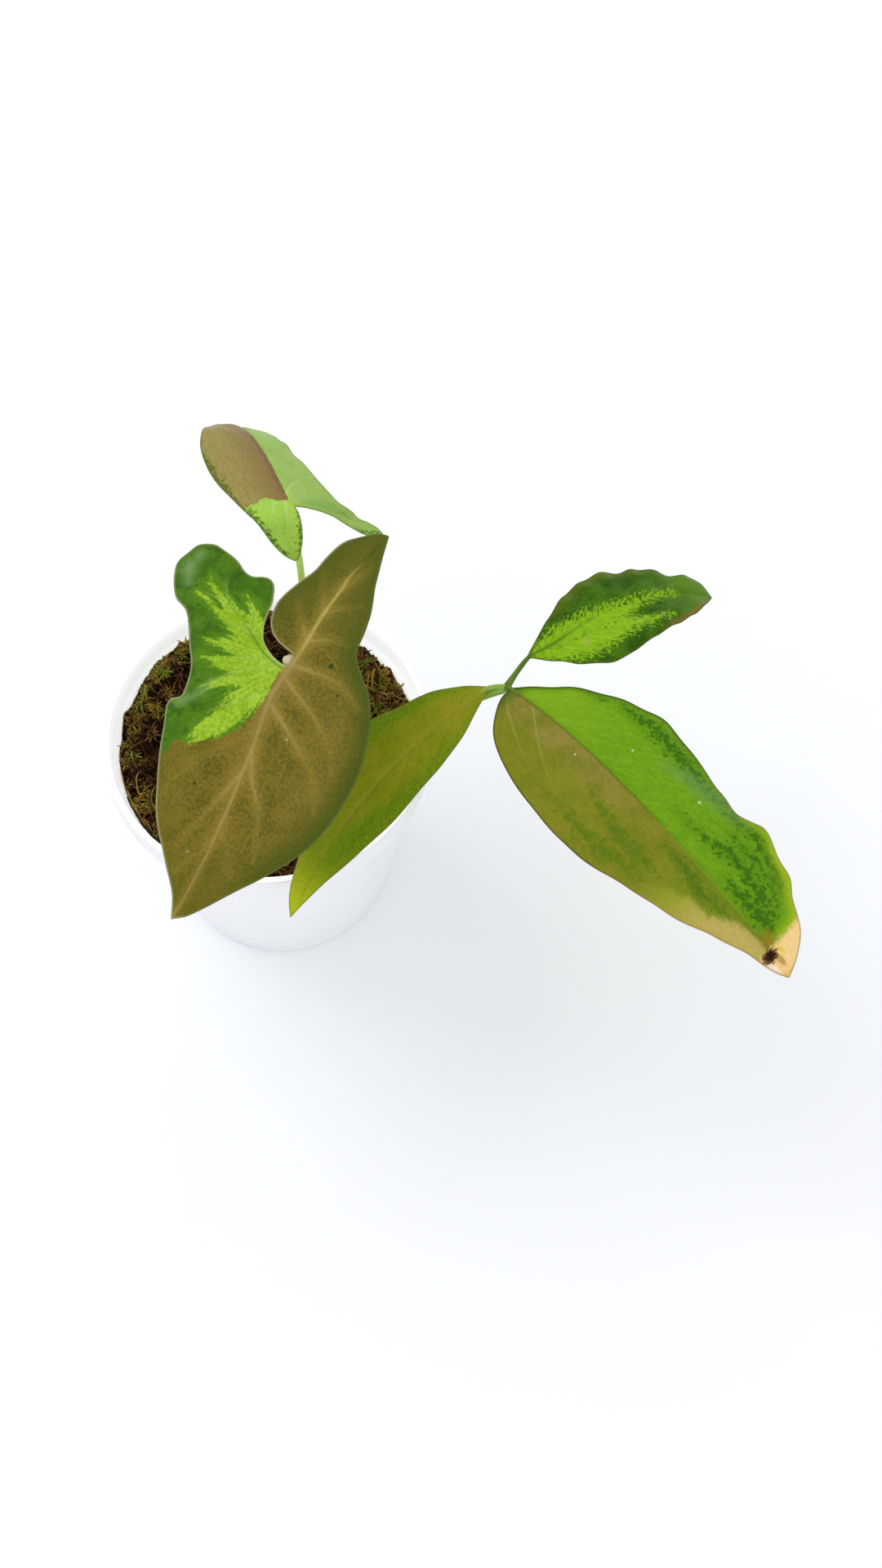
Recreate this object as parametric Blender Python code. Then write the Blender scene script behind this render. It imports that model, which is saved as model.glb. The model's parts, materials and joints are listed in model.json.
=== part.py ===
"""Arrowhead plant with three leaves, growing in moss in a white nursery pot.

Lengths below are in millimetres, angles in degrees, and meshes are made in metres.
The origin is the centre of the pot's underside and +Z is up.
A blade is drawn flat: "along" runs from its junction to its tip and "across" is
positive on its left side. Its pose then bends the flat shape into space.
"""

import math
import random

import bpy
import numpy as np

MM = 0.001
CLEARANCE = 0.35
SHARP_EDGE = 50.0

POT_HEIGHT = 80.0
POT_RIM_RADIUS = 45.0
POT_BASE_RADIUS = 31.0
POT_WALL = 1.5
POT_FLOOR = 2.0
POT_SIDES = 56
RIM_BAND = 9.0
RIM_OVERHANG = 2.4
RIM_THICKNESS = 2.0
EDGE_ROUND = 1.2
DRAIN_HOLES = 6
DRAIN_RADIUS = 3.0
DRAIN_CIRCLE = 21.0
DRAIN_SIDES = 12

MOSS_EDGE_HEIGHT = 74.5
MOSS_FOOT_GAP = 1.5
MOSS_MOUND = 6.5
MOSS_LUMP = 1.3
MOSS_SMALL_LUMP = 0.8
MOSS_SIDES = 60
MOSS_RINGS = 13

STRANDS = 84
STRAND_SEED = 41
STRAND_LENGTH = (5.0, 10.0)
STRAND_RISE = (0.5, 1.15)
STRAND_SWING = 1.3
STRAND_RADII = (1.15, 1.05, 0.95, 0.8, 0.5)
STRAND_DEPTH = 2.4
STRAND_WALL_GAP = 1.4
STRAND_STALK_GAP = 4.2
STRAND_CROWN_GAP = 9.0

CROWN_X = 14.0
CROWN_Y = -8.0
CROWN_RADIUS = 4.2
CROWN_FOOT = 70.0
CROWN_TOP = 87.0
CROWN_SIDES = 12
CROWN_HOLE_RADIUS = 4.7
SHEATH_LENGTH = 13.0
SHEATH_WALL = 1.3
SHEATH_LIP = 0.15

BLADE_THICKNESS = 0.8
RIB_DEPTH = 0.7
TUBE_SIDES = 8
BRANCH_SIDES = 7
BRANCH_RADIUS = 0.8
BRANCH_GAP = 0.5
HUB = (64.3, -2.4, 108.9)

ACROSS_BROAD = (0.0, 0.09, 0.3, 0.52, 0.74, 0.9, 1.0)
ACROSS_LOBE = (0.0, 0.18, 0.5, 0.8, 1.0)

LEAF_A = {
    "name": "leaf_a",
    "pose": {"junction": (9.8, -13.0, 140.0), "heading": -114.0, "pitch": -12.0, "droop": 25.0,
             "length": 85.0, "lobes": (12.0, 12.0), "crease": 10.0, "fold": (10.0, 8.0),
             "curl": (25.0, 25.0), "curl_width": 40.0},
    "columns": 16,
    "fan_columns": 6,
    "midrib": [(0.0, 0.0), (10.5, -0.5), (24.5, 0.8), (42.0, 0.9), (58.0, -1.0), (69.0, -2.5)],
    "left": [(-42.5, 8.0), (-34.0, 9.6), (-28.0, 11.0), (-21.0, 13.2), (-14.0, 14.4), (-8.0, 15.2),
             (-3.0, 19.0), (0.0, 22.0), (5.5, 25.0), (12.5, 27.0), (19.5, 28.0), (27.5, 27.3),
             (34.0, 26.0), (42.0, 22.5), (48.5, 17.8), (54.5, 12.5), (60.5, 7.0), (66.5, 1.3),
             (69.0, -2.5)],
    "left_waist": (0.3, 0.46),
    "left_lobe": {
        "rib": [(0.0, 0.0), (-7.0, 2.0), (-15.5, 2.5), (-23.5, 3.5), (-29.0, 4.2), (-42.5, 8.0)],
        "sinus": [(-42.5, 8.0), (-42.4, 5.5), (-40.0, 1.0), (-36.5, -2.0), (-31.0, -4.0),
                  (-26.0, -5.0), (-21.0, -7.0), (-16.0, -9.0), (-12.0, -9.0), (-8.0, -7.3),
                  (-5.0, -5.0), (-3.3, -3.2), (-2.0, -2.0), (-1.0, -1.2)]},
    "right": [(-20.0, -37.5), (-16.0, -39.0), (-12.0, -38.0), (-8.5, -36.0), (-5.5, -33.5),
              (-3.5, -30.0), (0.0, -27.5), (5.0, -24.5), (9.5, -22.0), (14.5, -21.0), (17.5, -21.0),
              (19.0, -23.0), (21.0, -23.5), (25.0, -22.5), (33.0, -20.0), (39.5, -18.0),
              (44.5, -16.0), (48.5, -14.0), (53.0, -11.2), (57.0, -8.3), (60.5, -5.8), (64.0, -4.0),
              (69.0, -2.5)],
    "right_waist": (0.26, 0.4),
    "right_lobe": {
        "rib": [(0.0, 0.0), (-1.8, -6.3), (-4.8, -12.4), (-9.0, -21.0), (-13.0, -27.5),
                (-20.0, -37.5)],
        "sinus": [(-20.0, -37.5), (-22.7, -36.0), (-23.7, -32.2), (-23.0, -29.5), (-21.3, -24.5),
                  (-18.7, -20.7), (-18.0, -18.0), (-19.0, -14.8), (-18.0, -12.4), (-13.8, -10.9),
                  (-9.0, -10.2), (-6.0, -8.7), (-3.6, -5.8), (-2.0, -3.0), (-1.0, -1.2)]},
}

LEAF_B = {
    "name": "leaf_b",
    "pose": {"junction": (9.5, 28.2, 150.0), "heading": 113.0, "pitch": 2.0, "droop": 74.0,
             "length": 60.0, "lobes": (64.0, 22.0), "crease": 7.0, "fold": (-5.0, -30.0),
             "fold_ahead": (27.0, -32.0), "curl": (10.0, 10.0), "curl_width": 25.0},
    "columns": 12,
    "fan_columns": 5,
    "midrib": [(0.0, 0.0), (7.5, 0.6), (16.5, 0.5), (27.0, 0.5), (38.0, 0.2), (49.0, 0.0)],
    "left": [(-17.0, 3.0), (-14.5, 5.2), (-9.7, 7.6), (-3.3, 9.5), (2.7, 11.5), (7.0, 13.0),
             (12.0, 14.8), (17.0, 15.8), (22.0, 15.6), (27.5, 14.0), (33.0, 11.6), (38.5, 8.2),
             (44.0, 4.0), (49.0, 0.0)],
    "left_waist": (0.2, 0.32),
    "left_lobe": {
        "rib": [(0.0, 0.0), (-4.0, 1.8), (-9.0, 3.2), (-17.0, 3.0)],
        "sinus": [(-17.0, 3.0), (-16.2, 2.0), (-12.0, 0.6), (-7.0, -0.9), (-4.0, -1.4), (-2.6, -1.2),
                  (-2.0, -0.6)]},
    "right": [(-14.5, -27.0), (-12.5, -26.0), (-10.3, -23.3), (-8.0, -19.6), (-1.5, -16.0),
              (4.8, -13.4), (10.2, -12.0), (15.0, -10.6), (21.0, -9.8), (28.0, -9.5), (34.0, -9.2),
              (39.5, -8.0), (44.5, -4.8), (49.0, 0.0)],
    "right_waist": (0.3, 0.42),
    "right_lobe": {
        "rib": [(0.0, 0.0), (-2.0, -6.5), (-5.6, -13.0), (-9.5, -19.5), (-14.5, -27.0)],
        "sinus": [(-14.5, -27.0), (-14.2, -23.5), (-13.2, -20.0), (-10.8, -16.5), (-7.5, -12.5),
                  (-4.4, -8.2), (-2.8, -4.2), (-2.0, -0.6)]},
}

LEAF_C_CENTRE = {
    "name": "leaf_c_centre",
    "pose": {"junction": (65.4, -3.1, 110.0), "heading": -45.0, "pitch": 0.0, "droop": 28.0,
             "length": 105.0, "fold": (10.0, 14.0), "curl": (30.0, 20.0), "curl_width": 25.0,
             "roll": 4.0},
    "columns": 24,
    "midrib": [(0.0, 0.0), (17.0, 1.3), (38.0, 1.5), (60.0, 1.0), (85.0, 0.8), (104.0, 0.0)],
    "left": [(0.0, 0.0), (6.0, 6.0), (10.5, 10.2), (15.0, 13.7), (20.5, 17.1), (26.0, 19.8),
             (32.5, 22.2), (38.0, 22.5), (42.5, 22.0), (47.5, 20.8), (52.5, 20.2), (58.0, 19.0),
             (63.5, 18.2), (68.5, 20.2), (72.0, 21.3), (76.5, 20.3), (81.0, 18.7), (85.5, 17.3),
             (89.0, 14.8), (93.0, 12.6), (97.5, 9.6), (100.8, 5.8), (104.0, 0.0)],
    "right": [(0.0, 0.0), (0.8, -4.5), (3.0, -8.7), (6.3, -12.9), (10.4, -15.6), (17.0, -18.4),
              (24.5, -20.0), (31.0, -21.0), (37.5, -21.3), (44.0, -21.2), (49.5, -20.0),
              (56.5, -18.1), (63.5, -16.1), (70.5, -14.3), (77.0, -11.7), (83.0, -8.8),
              (89.5, -6.0), (95.5, -3.9), (100.5, -2.2), (104.0, 0.0)],
}

LEAF_C_RIGHT = {
    "name": "leaf_c_right",
    "pose": {"junction": (69.7, 4.9, 112.0), "heading": 30.7, "pitch": 2.0, "droop": 42.0,
             "length": 66.0, "fold": (12.0, 10.0), "curl": (25.0, 25.0), "curl_width": 16.0,
             "roll": -6.0},
    "columns": 18,
    "midrib": [(0.0, 0.0), (10.0, 0.3), (20.0, 1.9), (30.0, 3.0), (42.0, 3.0), (54.0, 2.6),
               (66.3, 0.4)],
    "left": [(0.0, 0.0), (10.0, 6.6), (18.0, 11.5), (25.0, 14.4), (32.0, 15.8), (36.5, 15.5),
             (40.0, 13.9), (44.7, 13.9), (50.0, 12.7), (53.7, 9.9), (58.0, 8.7), (62.8, 8.3),
             (65.2, 5.6), (66.3, 0.4)],
    "right": [(0.0, 0.0), (5.5, -5.3), (11.0, -9.5), (16.0, -12.0), (22.0, -12.7), (30.0, -11.0),
              (37.0, -9.3), (46.0, -7.5), (56.0, -4.4), (66.3, 0.4)],
}

LEAF_C_LEFT = {
    "name": "leaf_c_left",
    "pose": {"junction": (59.7, -2.4, 109.5), "heading": -133.8, "pitch": -6.0, "droop": 30.0,
             "length": 80.0, "fold": (8.0, 8.0), "curl": (20.0, 20.0), "curl_width": 16.0},
    "columns": 18,
    "midrib": [(0.0, 0.0), (10.0, -1.5), (22.0, -3.0), (40.0, -4.2), (62.0, -3.2), (80.0, -0.6)],
    "left": [(0.0, 0.0), (3.0, 1.2), (8.5, 2.8), (15.5, 4.8), (23.0, 5.6), (30.0, 5.8), (37.0, 6.0),
             (44.0, 5.7), (51.0, 4.7), (58.5, 3.3), (66.5, 1.6), (74.0, 0.2), (80.0, -0.6)],
    "right": [(0.0, 0.0), (4.2, -4.8), (9.3, -9.0), (14.5, -11.8), (20.0, -14.4), (25.5, -17.0),
              (31.0, -18.6), (37.0, -18.6), (44.0, -16.9), (54.0, -13.4), (63.0, -10.0),
              (70.0, -6.8), (76.0, -4.0), (80.0, -0.6)],
}

STALK_COLUMNS = 16
STALK_A = {
    "name": "petiole_a",
    "blade": LEAF_A,
    "radii": (1.7, 1.2),
    "route": [(13.6, -9.2, 80.0), (13.8, -9.8, 90.0), (14.0, -9.4, 104.0), (13.6, -8.0, 120.0),
              (12.2, -8.0, 132.0), (10.9, -10.4, 137.4)],
}
STALK_B = {
    "name": "petiole_b",
    "blade": LEAF_B,
    "radii": (1.5, 0.9),
    "route": [(14.0, -6.6, 80.0), (14.6, -5.0, 90.0), (14.6, -0.8, 102.0), (13.6, 6.0, 113.0),
              (12.3, 14.0, 123.0), (11.4, 20.6, 132.0), (10.3, 25.8, 141.0), (9.7, 27.9, 146.5)],
}
STALK_C = {
    "name": "petiole_c",
    "radii": (1.7, 1.1),
    "route": [(14.6, -8.2, 80.0), (17.0, -8.4, 87.0), (24.0, -8.2, 92.0), (38.0, -6.8, 98.0),
              (52.0, -4.4, 103.6), HUB],
}
STALKS = (STALK_A, STALK_B, STALK_C)
BRANCHES = (LEAF_C_CENTRE, LEAF_C_RIGHT, LEAF_C_LEFT)

POT_WHITE = (0.86, 0.87, 0.88)
MOSS_BROWN = (0.14, 0.09, 0.03)
STEM_GREEN = (0.28, 0.42, 0.12)
LEAF_A_OLIVE = (0.21, 0.17, 0.06)
LEAF_B_GREEN = (0.28, 0.36, 0.12)
LEAF_C_GREEN = (0.15, 0.36, 0.03)


class Pose:
    """How a flat blade is set in space.

    junction: where the petiole meets the blade.
    heading: direction the tip points, turned from +X towards +Y.
    pitch: slope of the midrib at the junction; droop: how far it turns down over `length`.
    lobes: how far the left and right basal lobes bend down behind the junction, over `crease`.
    fold: slope of the left and right halves beside the midrib at the junction.
    fold_ahead: the same slopes, reached half way to the tip.
    curl: how far each half turns down again over `curl_width`.
    roll: how far the whole blade leans about its midrib.
    """

    def __init__(self, junction, heading, pitch, droop, length, fold, curl, curl_width,
                 fold_ahead=None, lobes=(0.0, 0.0), crease=8.0, roll=0.0):
        self.junction = np.array(junction, float)
        self.heading = math.radians(heading)
        self.pitch = math.radians(pitch)
        self.droop = math.radians(droop)
        self.length = length
        self.lobes = np.radians(lobes)
        self.crease = crease
        self.fold = np.radians(fold)
        self.fold_ahead = self.fold if fold_ahead is None else np.radians(fold_ahead)
        self.curl = np.radians(curl)
        self.curl_width = curl_width
        self.roll = math.radians(roll)

    def place(self, along, across):
        """Points in space of the flat points (along, across)."""
        along = np.asarray(along, float)
        across = np.asarray(across, float)
        ahead, up, slope = bent_path(np.maximum(along, 0.0), self.pitch, -self.droop, self.length)
        leftness = soft_step(across / 6.0 + 0.5)
        lobe_turn = self.lobes[1] + (self.lobes[0] - self.lobes[1]) * leftness
        back, fall, back_slope = bent_path(np.maximum(-along, 0.0), -self.pitch, -lobe_turn,
                                           self.crease)
        ahead = ahead - back
        up = up + fall
        slope = np.where(along >= 0.0, slope, -back_slope)

        left = across >= 0.0
        progress = soft_step(along / (0.5 * self.length))
        near = np.where(left, self.fold[0], self.fold[1])
        far = np.where(left, self.fold_ahead[0], self.fold_ahead[1])
        curl = np.where(left, self.curl[0], self.curl[1])
        start = near + (far - near) * progress
        out, rise, _ = bent_path(np.abs(across), start, -curl, self.curl_width)
        out = np.where(left, out, -out)

        side = out * math.cos(self.roll) - rise * math.sin(self.roll)
        lift = out * math.sin(self.roll) + rise * math.cos(self.roll)
        forward = ahead - lift * np.sin(slope)
        height = up + lift * np.cos(slope)
        cosine = math.cos(self.heading)
        sine = math.sin(self.heading)
        return self.junction + np.stack([forward * cosine - side * sine,
                                         forward * sine + side * cosine, height], -1)

    def normal(self, along, across):
        """Unit normals of the upper face at the flat points (along, across)."""
        step = 0.2
        forward = self.place(along + step, across) - self.place(along - step, across)
        sideways = self.place(along, across + step) - self.place(along, across - step)
        cross = np.cross(forward, sideways)
        return cross / np.linalg.norm(cross, axis=-1, keepdims=True)


def bent_path(distance, start, turn, length):
    """Travel ahead, travel up and slope on a path that turns evenly over `length`, then runs straight."""
    rate = turn / length
    rate = np.where(np.abs(rate) < 1e-6, 1e-6, rate)
    bent = np.minimum(distance, length)
    straight = distance - bent
    slope = start + rate * bent
    ahead = (np.sin(slope) - np.sin(start)) / rate + straight * np.cos(slope)
    up = (np.cos(start) - np.cos(slope)) / rate + straight * np.sin(slope)
    return ahead, up, slope


def soft_step(value):
    """Smooth rise from 0 to 1 as value goes from 0 to 1."""
    value = np.clip(value, 0.0, 1.0)
    return value * value * (3.0 - 2.0 * value)


def smooth_curve(points, fractions):
    """Points at the given fractions of the length of the smooth curve through `points`."""
    knots = np.array(points, float)
    knots = np.vstack([2.0 * knots[0] - knots[1], knots, 2.0 * knots[-1] - knots[-2]])
    before, here, after, beyond = (knots[shift:len(knots) - 3 + shift, None, :] for shift in range(4))
    t = np.linspace(0.0, 1.0, 16, endpoint=False)[None, :, None]
    dense = 0.5 * (2.0 * here + (after - before) * t
                   + (2.0 * before - 5.0 * here + 4.0 * after - beyond) * t ** 2
                   + (3.0 * here - before - 3.0 * after + beyond) * t ** 3)
    dense = np.vstack([dense.reshape(-1, knots.shape[1]), knots[-2]])
    run = distance_along(dense)
    wanted = np.asarray(fractions) * run[-1]
    return np.stack([np.interp(wanted, run, dense[:, axis]) for axis in range(dense.shape[1])], -1)


def distance_along(path):
    """Distance of each point of a path from its start, along the path."""
    return np.concatenate([[0.0], np.cumsum(np.linalg.norm(np.diff(path, axis=0), axis=1))])


def ruled(inner, outer, across):
    """Flat grid of straight rulings from the rib curve to the margin curve."""
    share = np.array(across)[None, :, None]
    return inner[:, None, :] * (1.0 - share) + outer[:, None, :] * share


def leaflet_grids(leaf):
    """Two flat grids, one on each side of a midrib, that meet at the base and the tip."""
    steps = np.linspace(0.0, 1.0, leaf["columns"] + 1)
    midrib = smooth_curve(leaf["midrib"], steps)
    return [(ruled(midrib, smooth_curve(leaf[side], steps), ACROSS_BROAD), ACROSS_BROAD)
            for side in ("left", "right")]


def arrowhead_grids(leaf):
    """Four flat grids: each half's main field, round the junction, and each lobe's inner field."""
    grids = []
    blade_columns = leaf["columns"]
    lobe_columns = blade_columns // 2
    fan_columns = leaf["fan_columns"]
    ahead = smooth_curve(leaf["midrib"], np.linspace(0.0, 1.0, blade_columns + 1))
    for side in ("left", "right"):
        lobe = leaf[side + "_lobe"]
        back = smooth_curve(lobe["rib"], np.linspace(1.0, 0.0, lobe_columns + 1))
        fan = np.repeat(ahead[:1], fan_columns, axis=0)
        inner = np.vstack([back, fan, ahead[1:]])
        waist_start, waist_end = leaf[side + "_waist"]
        shares = np.concatenate([np.linspace(0.0, waist_start, lobe_columns + 1),
                                 np.linspace(waist_start, waist_end, fan_columns + 1)[1:],
                                 np.linspace(waist_end, 1.0, blade_columns + 1)[1:]])
        margin = smooth_curve(leaf[side], shares)
        grids.append((ruled(inner, margin, ACROSS_BROAD), ACROSS_BROAD))
        sinus = smooth_curve(lobe["sinus"], np.linspace(0.0, 1.0, lobe_columns + 1))
        grids.append((ruled(back, sinus, ACROSS_LOBE), ACROSS_LOBE))
    return grids


def flat_triangles(leaf):
    """Flat points, how far each belongs to a rib, and triangles that face up, with doubles merged."""
    grids = arrowhead_grids(leaf) if "left_lobe" in leaf else leaflet_grids(leaf)
    flat = []
    ridge = []
    triangles = []
    base = 0
    for grid, across in grids:
        rows, columns = grid.shape[:2]
        index = base + np.arange(rows * columns).reshape(rows, columns)
        corners = (index[:-1, :-1], index[1:, :-1], index[1:, 1:], index[:-1, 1:])
        a, b, c, d = (corner.ravel() for corner in corners)
        triangles += [np.stack([a, b, c], -1), np.stack([a, c, d], -1)]
        flat.append(grid.reshape(-1, 2))
        ridge.append(np.tile(1.0 - np.minimum(np.array(across) / across[1], 1.0), rows))
        base += rows * columns
    flat = np.vstack(flat)
    _, first, merged = np.unique(np.round(flat, 3), axis=0, return_index=True, return_inverse=True)
    triangles = merged.ravel()[np.vstack(triangles)]
    flat = flat[first]
    a, b, c = (flat[column] for column in triangles.T)
    turn = (b[:, 0] - a[:, 0]) * (c[:, 1] - a[:, 1]) - (b[:, 1] - a[:, 1]) * (c[:, 0] - a[:, 0])
    kept = np.abs(turn) > 1e-4
    triangles = triangles[kept]
    facing_down = turn[kept] < 0.0
    triangles[facing_down] = triangles[facing_down][:, ::-1]
    return flat, np.concatenate(ridge)[first], triangles


def blade_mesh(leaf):
    """Closed thin solid of a blade: the same triangles on both faces and a narrow wall between them."""
    flat, ridge, triangles = flat_triangles(leaf)
    pose = Pose(**leaf["pose"])
    middle = pose.place(flat[:, 0], flat[:, 1])
    normal = pose.normal(flat[:, 0], flat[:, 1])
    taper = np.clip(1.0 - flat[:, 0] / pose.length, 0.15, 1.0)
    upper = middle + normal * (BLADE_THICKNESS / 2.0)
    lower = middle - normal * (BLADE_THICKNESS / 2.0 + RIB_DEPTH * ridge * taper)[:, None]
    count = len(flat)
    edges = np.vstack([triangles[:, [0, 1]], triangles[:, [1, 2]], triangles[:, [2, 0]]]).tolist()
    known = {tuple(edge) for edge in edges}
    rim = [edge for edge in edges if (edge[1], edge[0]) not in known]
    walls = [[start + count, end + count, end] for start, end in rim]
    walls += [[start + count, end, start] for start, end in rim]
    faces = triangles.tolist() + (triangles[:, ::-1] + count).tolist() + walls
    return np.vstack([upper, lower]), faces


def tube_mesh(path, radii, sides=TUBE_SIDES, end_normal=None):
    """Closed tube along a path, with flat ends; the last end may lie square to `end_normal`."""
    path = np.asarray(path, float)
    tangents = np.gradient(path, axis=0)
    tangents /= np.linalg.norm(tangents, axis=1, keepdims=True)
    if end_normal is not None:
        tangents[-1] = end_normal
    guide = np.array([0.0, 1.0, 0.0]) if abs(tangents[0][1]) < 0.8 else np.array([1.0, 0.0, 0.0])
    angles = np.linspace(0.0, 2.0 * math.pi, sides, endpoint=False)[:, None]
    rings = []
    for point, tangent, radius in zip(path, tangents, radii):
        guide = guide - tangent * guide.dot(tangent)
        guide /= np.linalg.norm(guide)
        second = np.cross(tangent, guide)
        rings.append(point + radius * (np.cos(angles) * guide + np.sin(angles) * second))
    faces = []
    for ring in range(len(path) - 1):
        for side in range(sides):
            a = ring * sides + side
            b = ring * sides + (side + 1) % sides
            faces.append([a, b, b + sides, a + sides])
    last = (len(path) - 1) * sides
    faces.append(list(range(sides))[::-1])
    faces.append(list(range(last, last + sides)))
    return np.vstack(rings), faces


def lathe_mesh(profile, sides):
    """Solid turned about Z from a profile that starts and ends on the axis."""
    angles = np.linspace(0.0, 2.0 * math.pi, sides, endpoint=False)
    rings = [np.stack([radius * np.cos(angles), radius * np.sin(angles), np.full(sides, height)], -1)
             for radius, height in profile[1:-1]]
    vertices = np.vstack(rings + [[[0.0, 0.0, profile[0][1]]], [[0.0, 0.0, profile[-1][1]]]])
    start = len(rings) * sides
    end = start + 1
    last = start - sides
    faces = []
    for side in range(sides):
        after = (side + 1) % sides
        faces.append([start, after, side])
        for low in range(0, last, sides):
            high = low + sides
            faces.append([low + side, low + after, high + after, high + side])
        faces.append([end, last + side, last + after])
    return vertices, faces


def make_material(name, color, roughness):
    """Principled material with one colour and one roughness."""
    material = bpy.data.materials.new(name)
    material.use_nodes = True
    shader = material.node_tree.nodes["Principled BSDF"]
    shader.inputs["Base Color"].default_value = (*color, 1.0)
    shader.inputs["Roughness"].default_value = roughness
    shader.inputs["Metallic"].default_value = 0.0
    return material


def add_object(name, vertices, faces, material):
    """Object in metres from millimetre points, shaded smooth except at sharp edges."""
    mesh = bpy.data.meshes.new(name)
    mesh.from_pydata((np.asarray(vertices) * MM).tolist(), [], faces)
    mesh.materials.append(material)
    mesh.shade_smooth()
    mesh.set_sharp_from_angle(angle=math.radians(SHARP_EDGE))
    item = bpy.data.objects.new(name, mesh)
    bpy.context.scene.collection.objects.link(item)
    return item


def combine(base, others, operation):
    """Apply one Boolean of `operation` with all the other objects, and remove them."""
    group = bpy.data.collections.new(base.name + "_parts")
    bpy.context.scene.collection.children.link(group)
    for other in others:
        bpy.context.scene.collection.objects.unlink(other)
        group.objects.link(other)
    modifier = base.modifiers.new("combine", "BOOLEAN")
    modifier.operation = operation
    modifier.operand_type = "COLLECTION"
    modifier.collection = group
    modifier.solver = "EXACT"
    modifier.use_self = operation == "UNION"
    bpy.context.view_layer.update()
    result = bpy.data.meshes.new_from_object(base.evaluated_get(bpy.context.evaluated_depsgraph_get()))
    base.modifiers.clear()
    base.data = result
    for other in others:
        bpy.data.objects.remove(other)
    bpy.data.collections.remove(group)


def pot_inner_radius(height):
    """Inner radius of the pot's tapered wall at a height."""
    widening = POT_RIM_RADIUS - RIM_OVERHANG - POT_BASE_RADIUS
    return POT_BASE_RADIUS + widening * height / (POT_HEIGHT - RIM_BAND) - POT_WALL


def build_pot(material):
    """Tapered pot with a stepped, rounded rim band and a ring of drainage holes."""
    base = POT_BASE_RADIUS
    rim = POT_RIM_RADIUS
    top = POT_HEIGHT
    band = POT_HEIGHT - RIM_BAND
    edge = EDGE_ROUND
    profile = [(0.0, 0.0), (base - edge, 0.0), (base - 0.25 * edge, 0.25 * edge), (base, edge),
               (rim - RIM_OVERHANG, band), (rim - 0.3 * RIM_OVERHANG, band + 0.2 * RIM_OVERHANG),
               (rim, band + 0.6 * RIM_OVERHANG), (rim, top - edge),
               (rim - 0.3 * edge, top - 0.3 * edge), (rim - 0.9 * edge, top),
               (rim - 1.4 * edge, top - 0.25 * edge), (rim - 1.6 * edge, top - edge),
               (rim - RIM_THICKNESS, band + RIM_THICKNESS), (pot_inner_radius(band), band),
               (pot_inner_radius(POT_FLOOR), POT_FLOOR + edge),
               (pot_inner_radius(POT_FLOOR) - edge, POT_FLOOR), (0.0, POT_FLOOR)]
    pot = add_object("pot", *lathe_mesh(profile, POT_SIDES), material)
    drills = []
    for number in range(DRAIN_HOLES):
        angle = 2.0 * math.pi * number / DRAIN_HOLES
        x = DRAIN_CIRCLE * math.cos(angle)
        y = DRAIN_CIRCLE * math.sin(angle)
        path = [(x, y, -1.0), (x, y, POT_FLOOR + 1.0)]
        cylinder = tube_mesh(path, (DRAIN_RADIUS, DRAIN_RADIUS), DRAIN_SIDES)
        drills.append(add_object("drill", *cylinder, material))
    combine(pot, drills, "DIFFERENCE")


def moss_height(x, y):
    """Height of the moss: a low mound about the pot's axis with lumps about a centimetre across."""
    radius = np.hypot(x, y) / pot_inner_radius(MOSS_EDGE_HEIGHT)
    mound = MOSS_MOUND * (1.0 - radius ** 2)
    lumps = MOSS_LUMP * np.sin(0.55 * x + 1.1) * np.cos(0.48 * y - 0.4)
    small_lumps = MOSS_SMALL_LUMP * np.sin(0.93 * x - 0.71 * y)
    return MOSS_EDGE_HEIGHT + mound + lumps + small_lumps


def build_moss(material, keep_clear):
    """Moss filling the pot: a lumpy mound with a plain hole for the crown, and loose strands fused on."""
    angles = np.linspace(0.0, 2.0 * math.pi, MOSS_SIDES, endpoint=False)
    ray_x = np.cos(angles)
    ray_y = np.sin(angles)
    edge = pot_inner_radius(MOSS_EDGE_HEIGHT) - CLEARANCE
    toward = CROWN_X * ray_x + CROWN_Y * ray_y
    reach = -toward + np.sqrt(toward ** 2 + edge ** 2 - CROWN_X ** 2 - CROWN_Y ** 2)
    hole_floor = CROWN_FOOT - CLEARANCE
    rings = [(CROWN_X + CROWN_HOLE_RADIUS * ray_x, CROWN_Y + CROWN_HOLE_RADIUS * ray_y,
              np.full(MOSS_SIDES, hole_floor))]
    for share in np.linspace(0.0, 1.0, MOSS_RINGS):
        distance = CROWN_HOLE_RADIUS + share * (reach - CROWN_HOLE_RADIUS)
        x = CROWN_X + distance * ray_x
        y = CROWN_Y + distance * ray_y
        rings.append((x, y, moss_height(x, y)))
    rim_x, rim_y, _ = rings[-1]
    foot = POT_FLOOR + MOSS_FOOT_GAP
    for height in (0.6 * MOSS_EDGE_HEIGHT, foot):
        scale = (pot_inner_radius(height) - CLEARANCE) / edge
        rings.append((rim_x * scale, rim_y * scale, np.full(MOSS_SIDES, height)))
    vertices = np.vstack([np.stack(ring, -1) for ring in rings]
                         + [[[CROWN_X, CROWN_Y, hole_floor]], [[0.0, 0.0, foot]]])
    last = (len(rings) - 1) * MOSS_SIDES
    hole_centre = last + MOSS_SIDES
    faces = []
    for side in range(MOSS_SIDES):
        after = (side + 1) % MOSS_SIDES
        faces.append([hole_centre, side, after])
        for near in range(0, last, MOSS_SIDES):
            far = near + MOSS_SIDES
            faces.append([near + side, far + side, far + after])
            faces.append([near + side, far + after, near + after])
        faces.append([hole_centre + 1, last + after, last + side])
    moss = add_object("moss", vertices, faces, material)
    strands = [add_object("strand", *tube_mesh(path, STRAND_RADII, 4), material)
               for path in strand_paths(keep_clear)]
    combine(moss, strands, "UNION")


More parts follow.
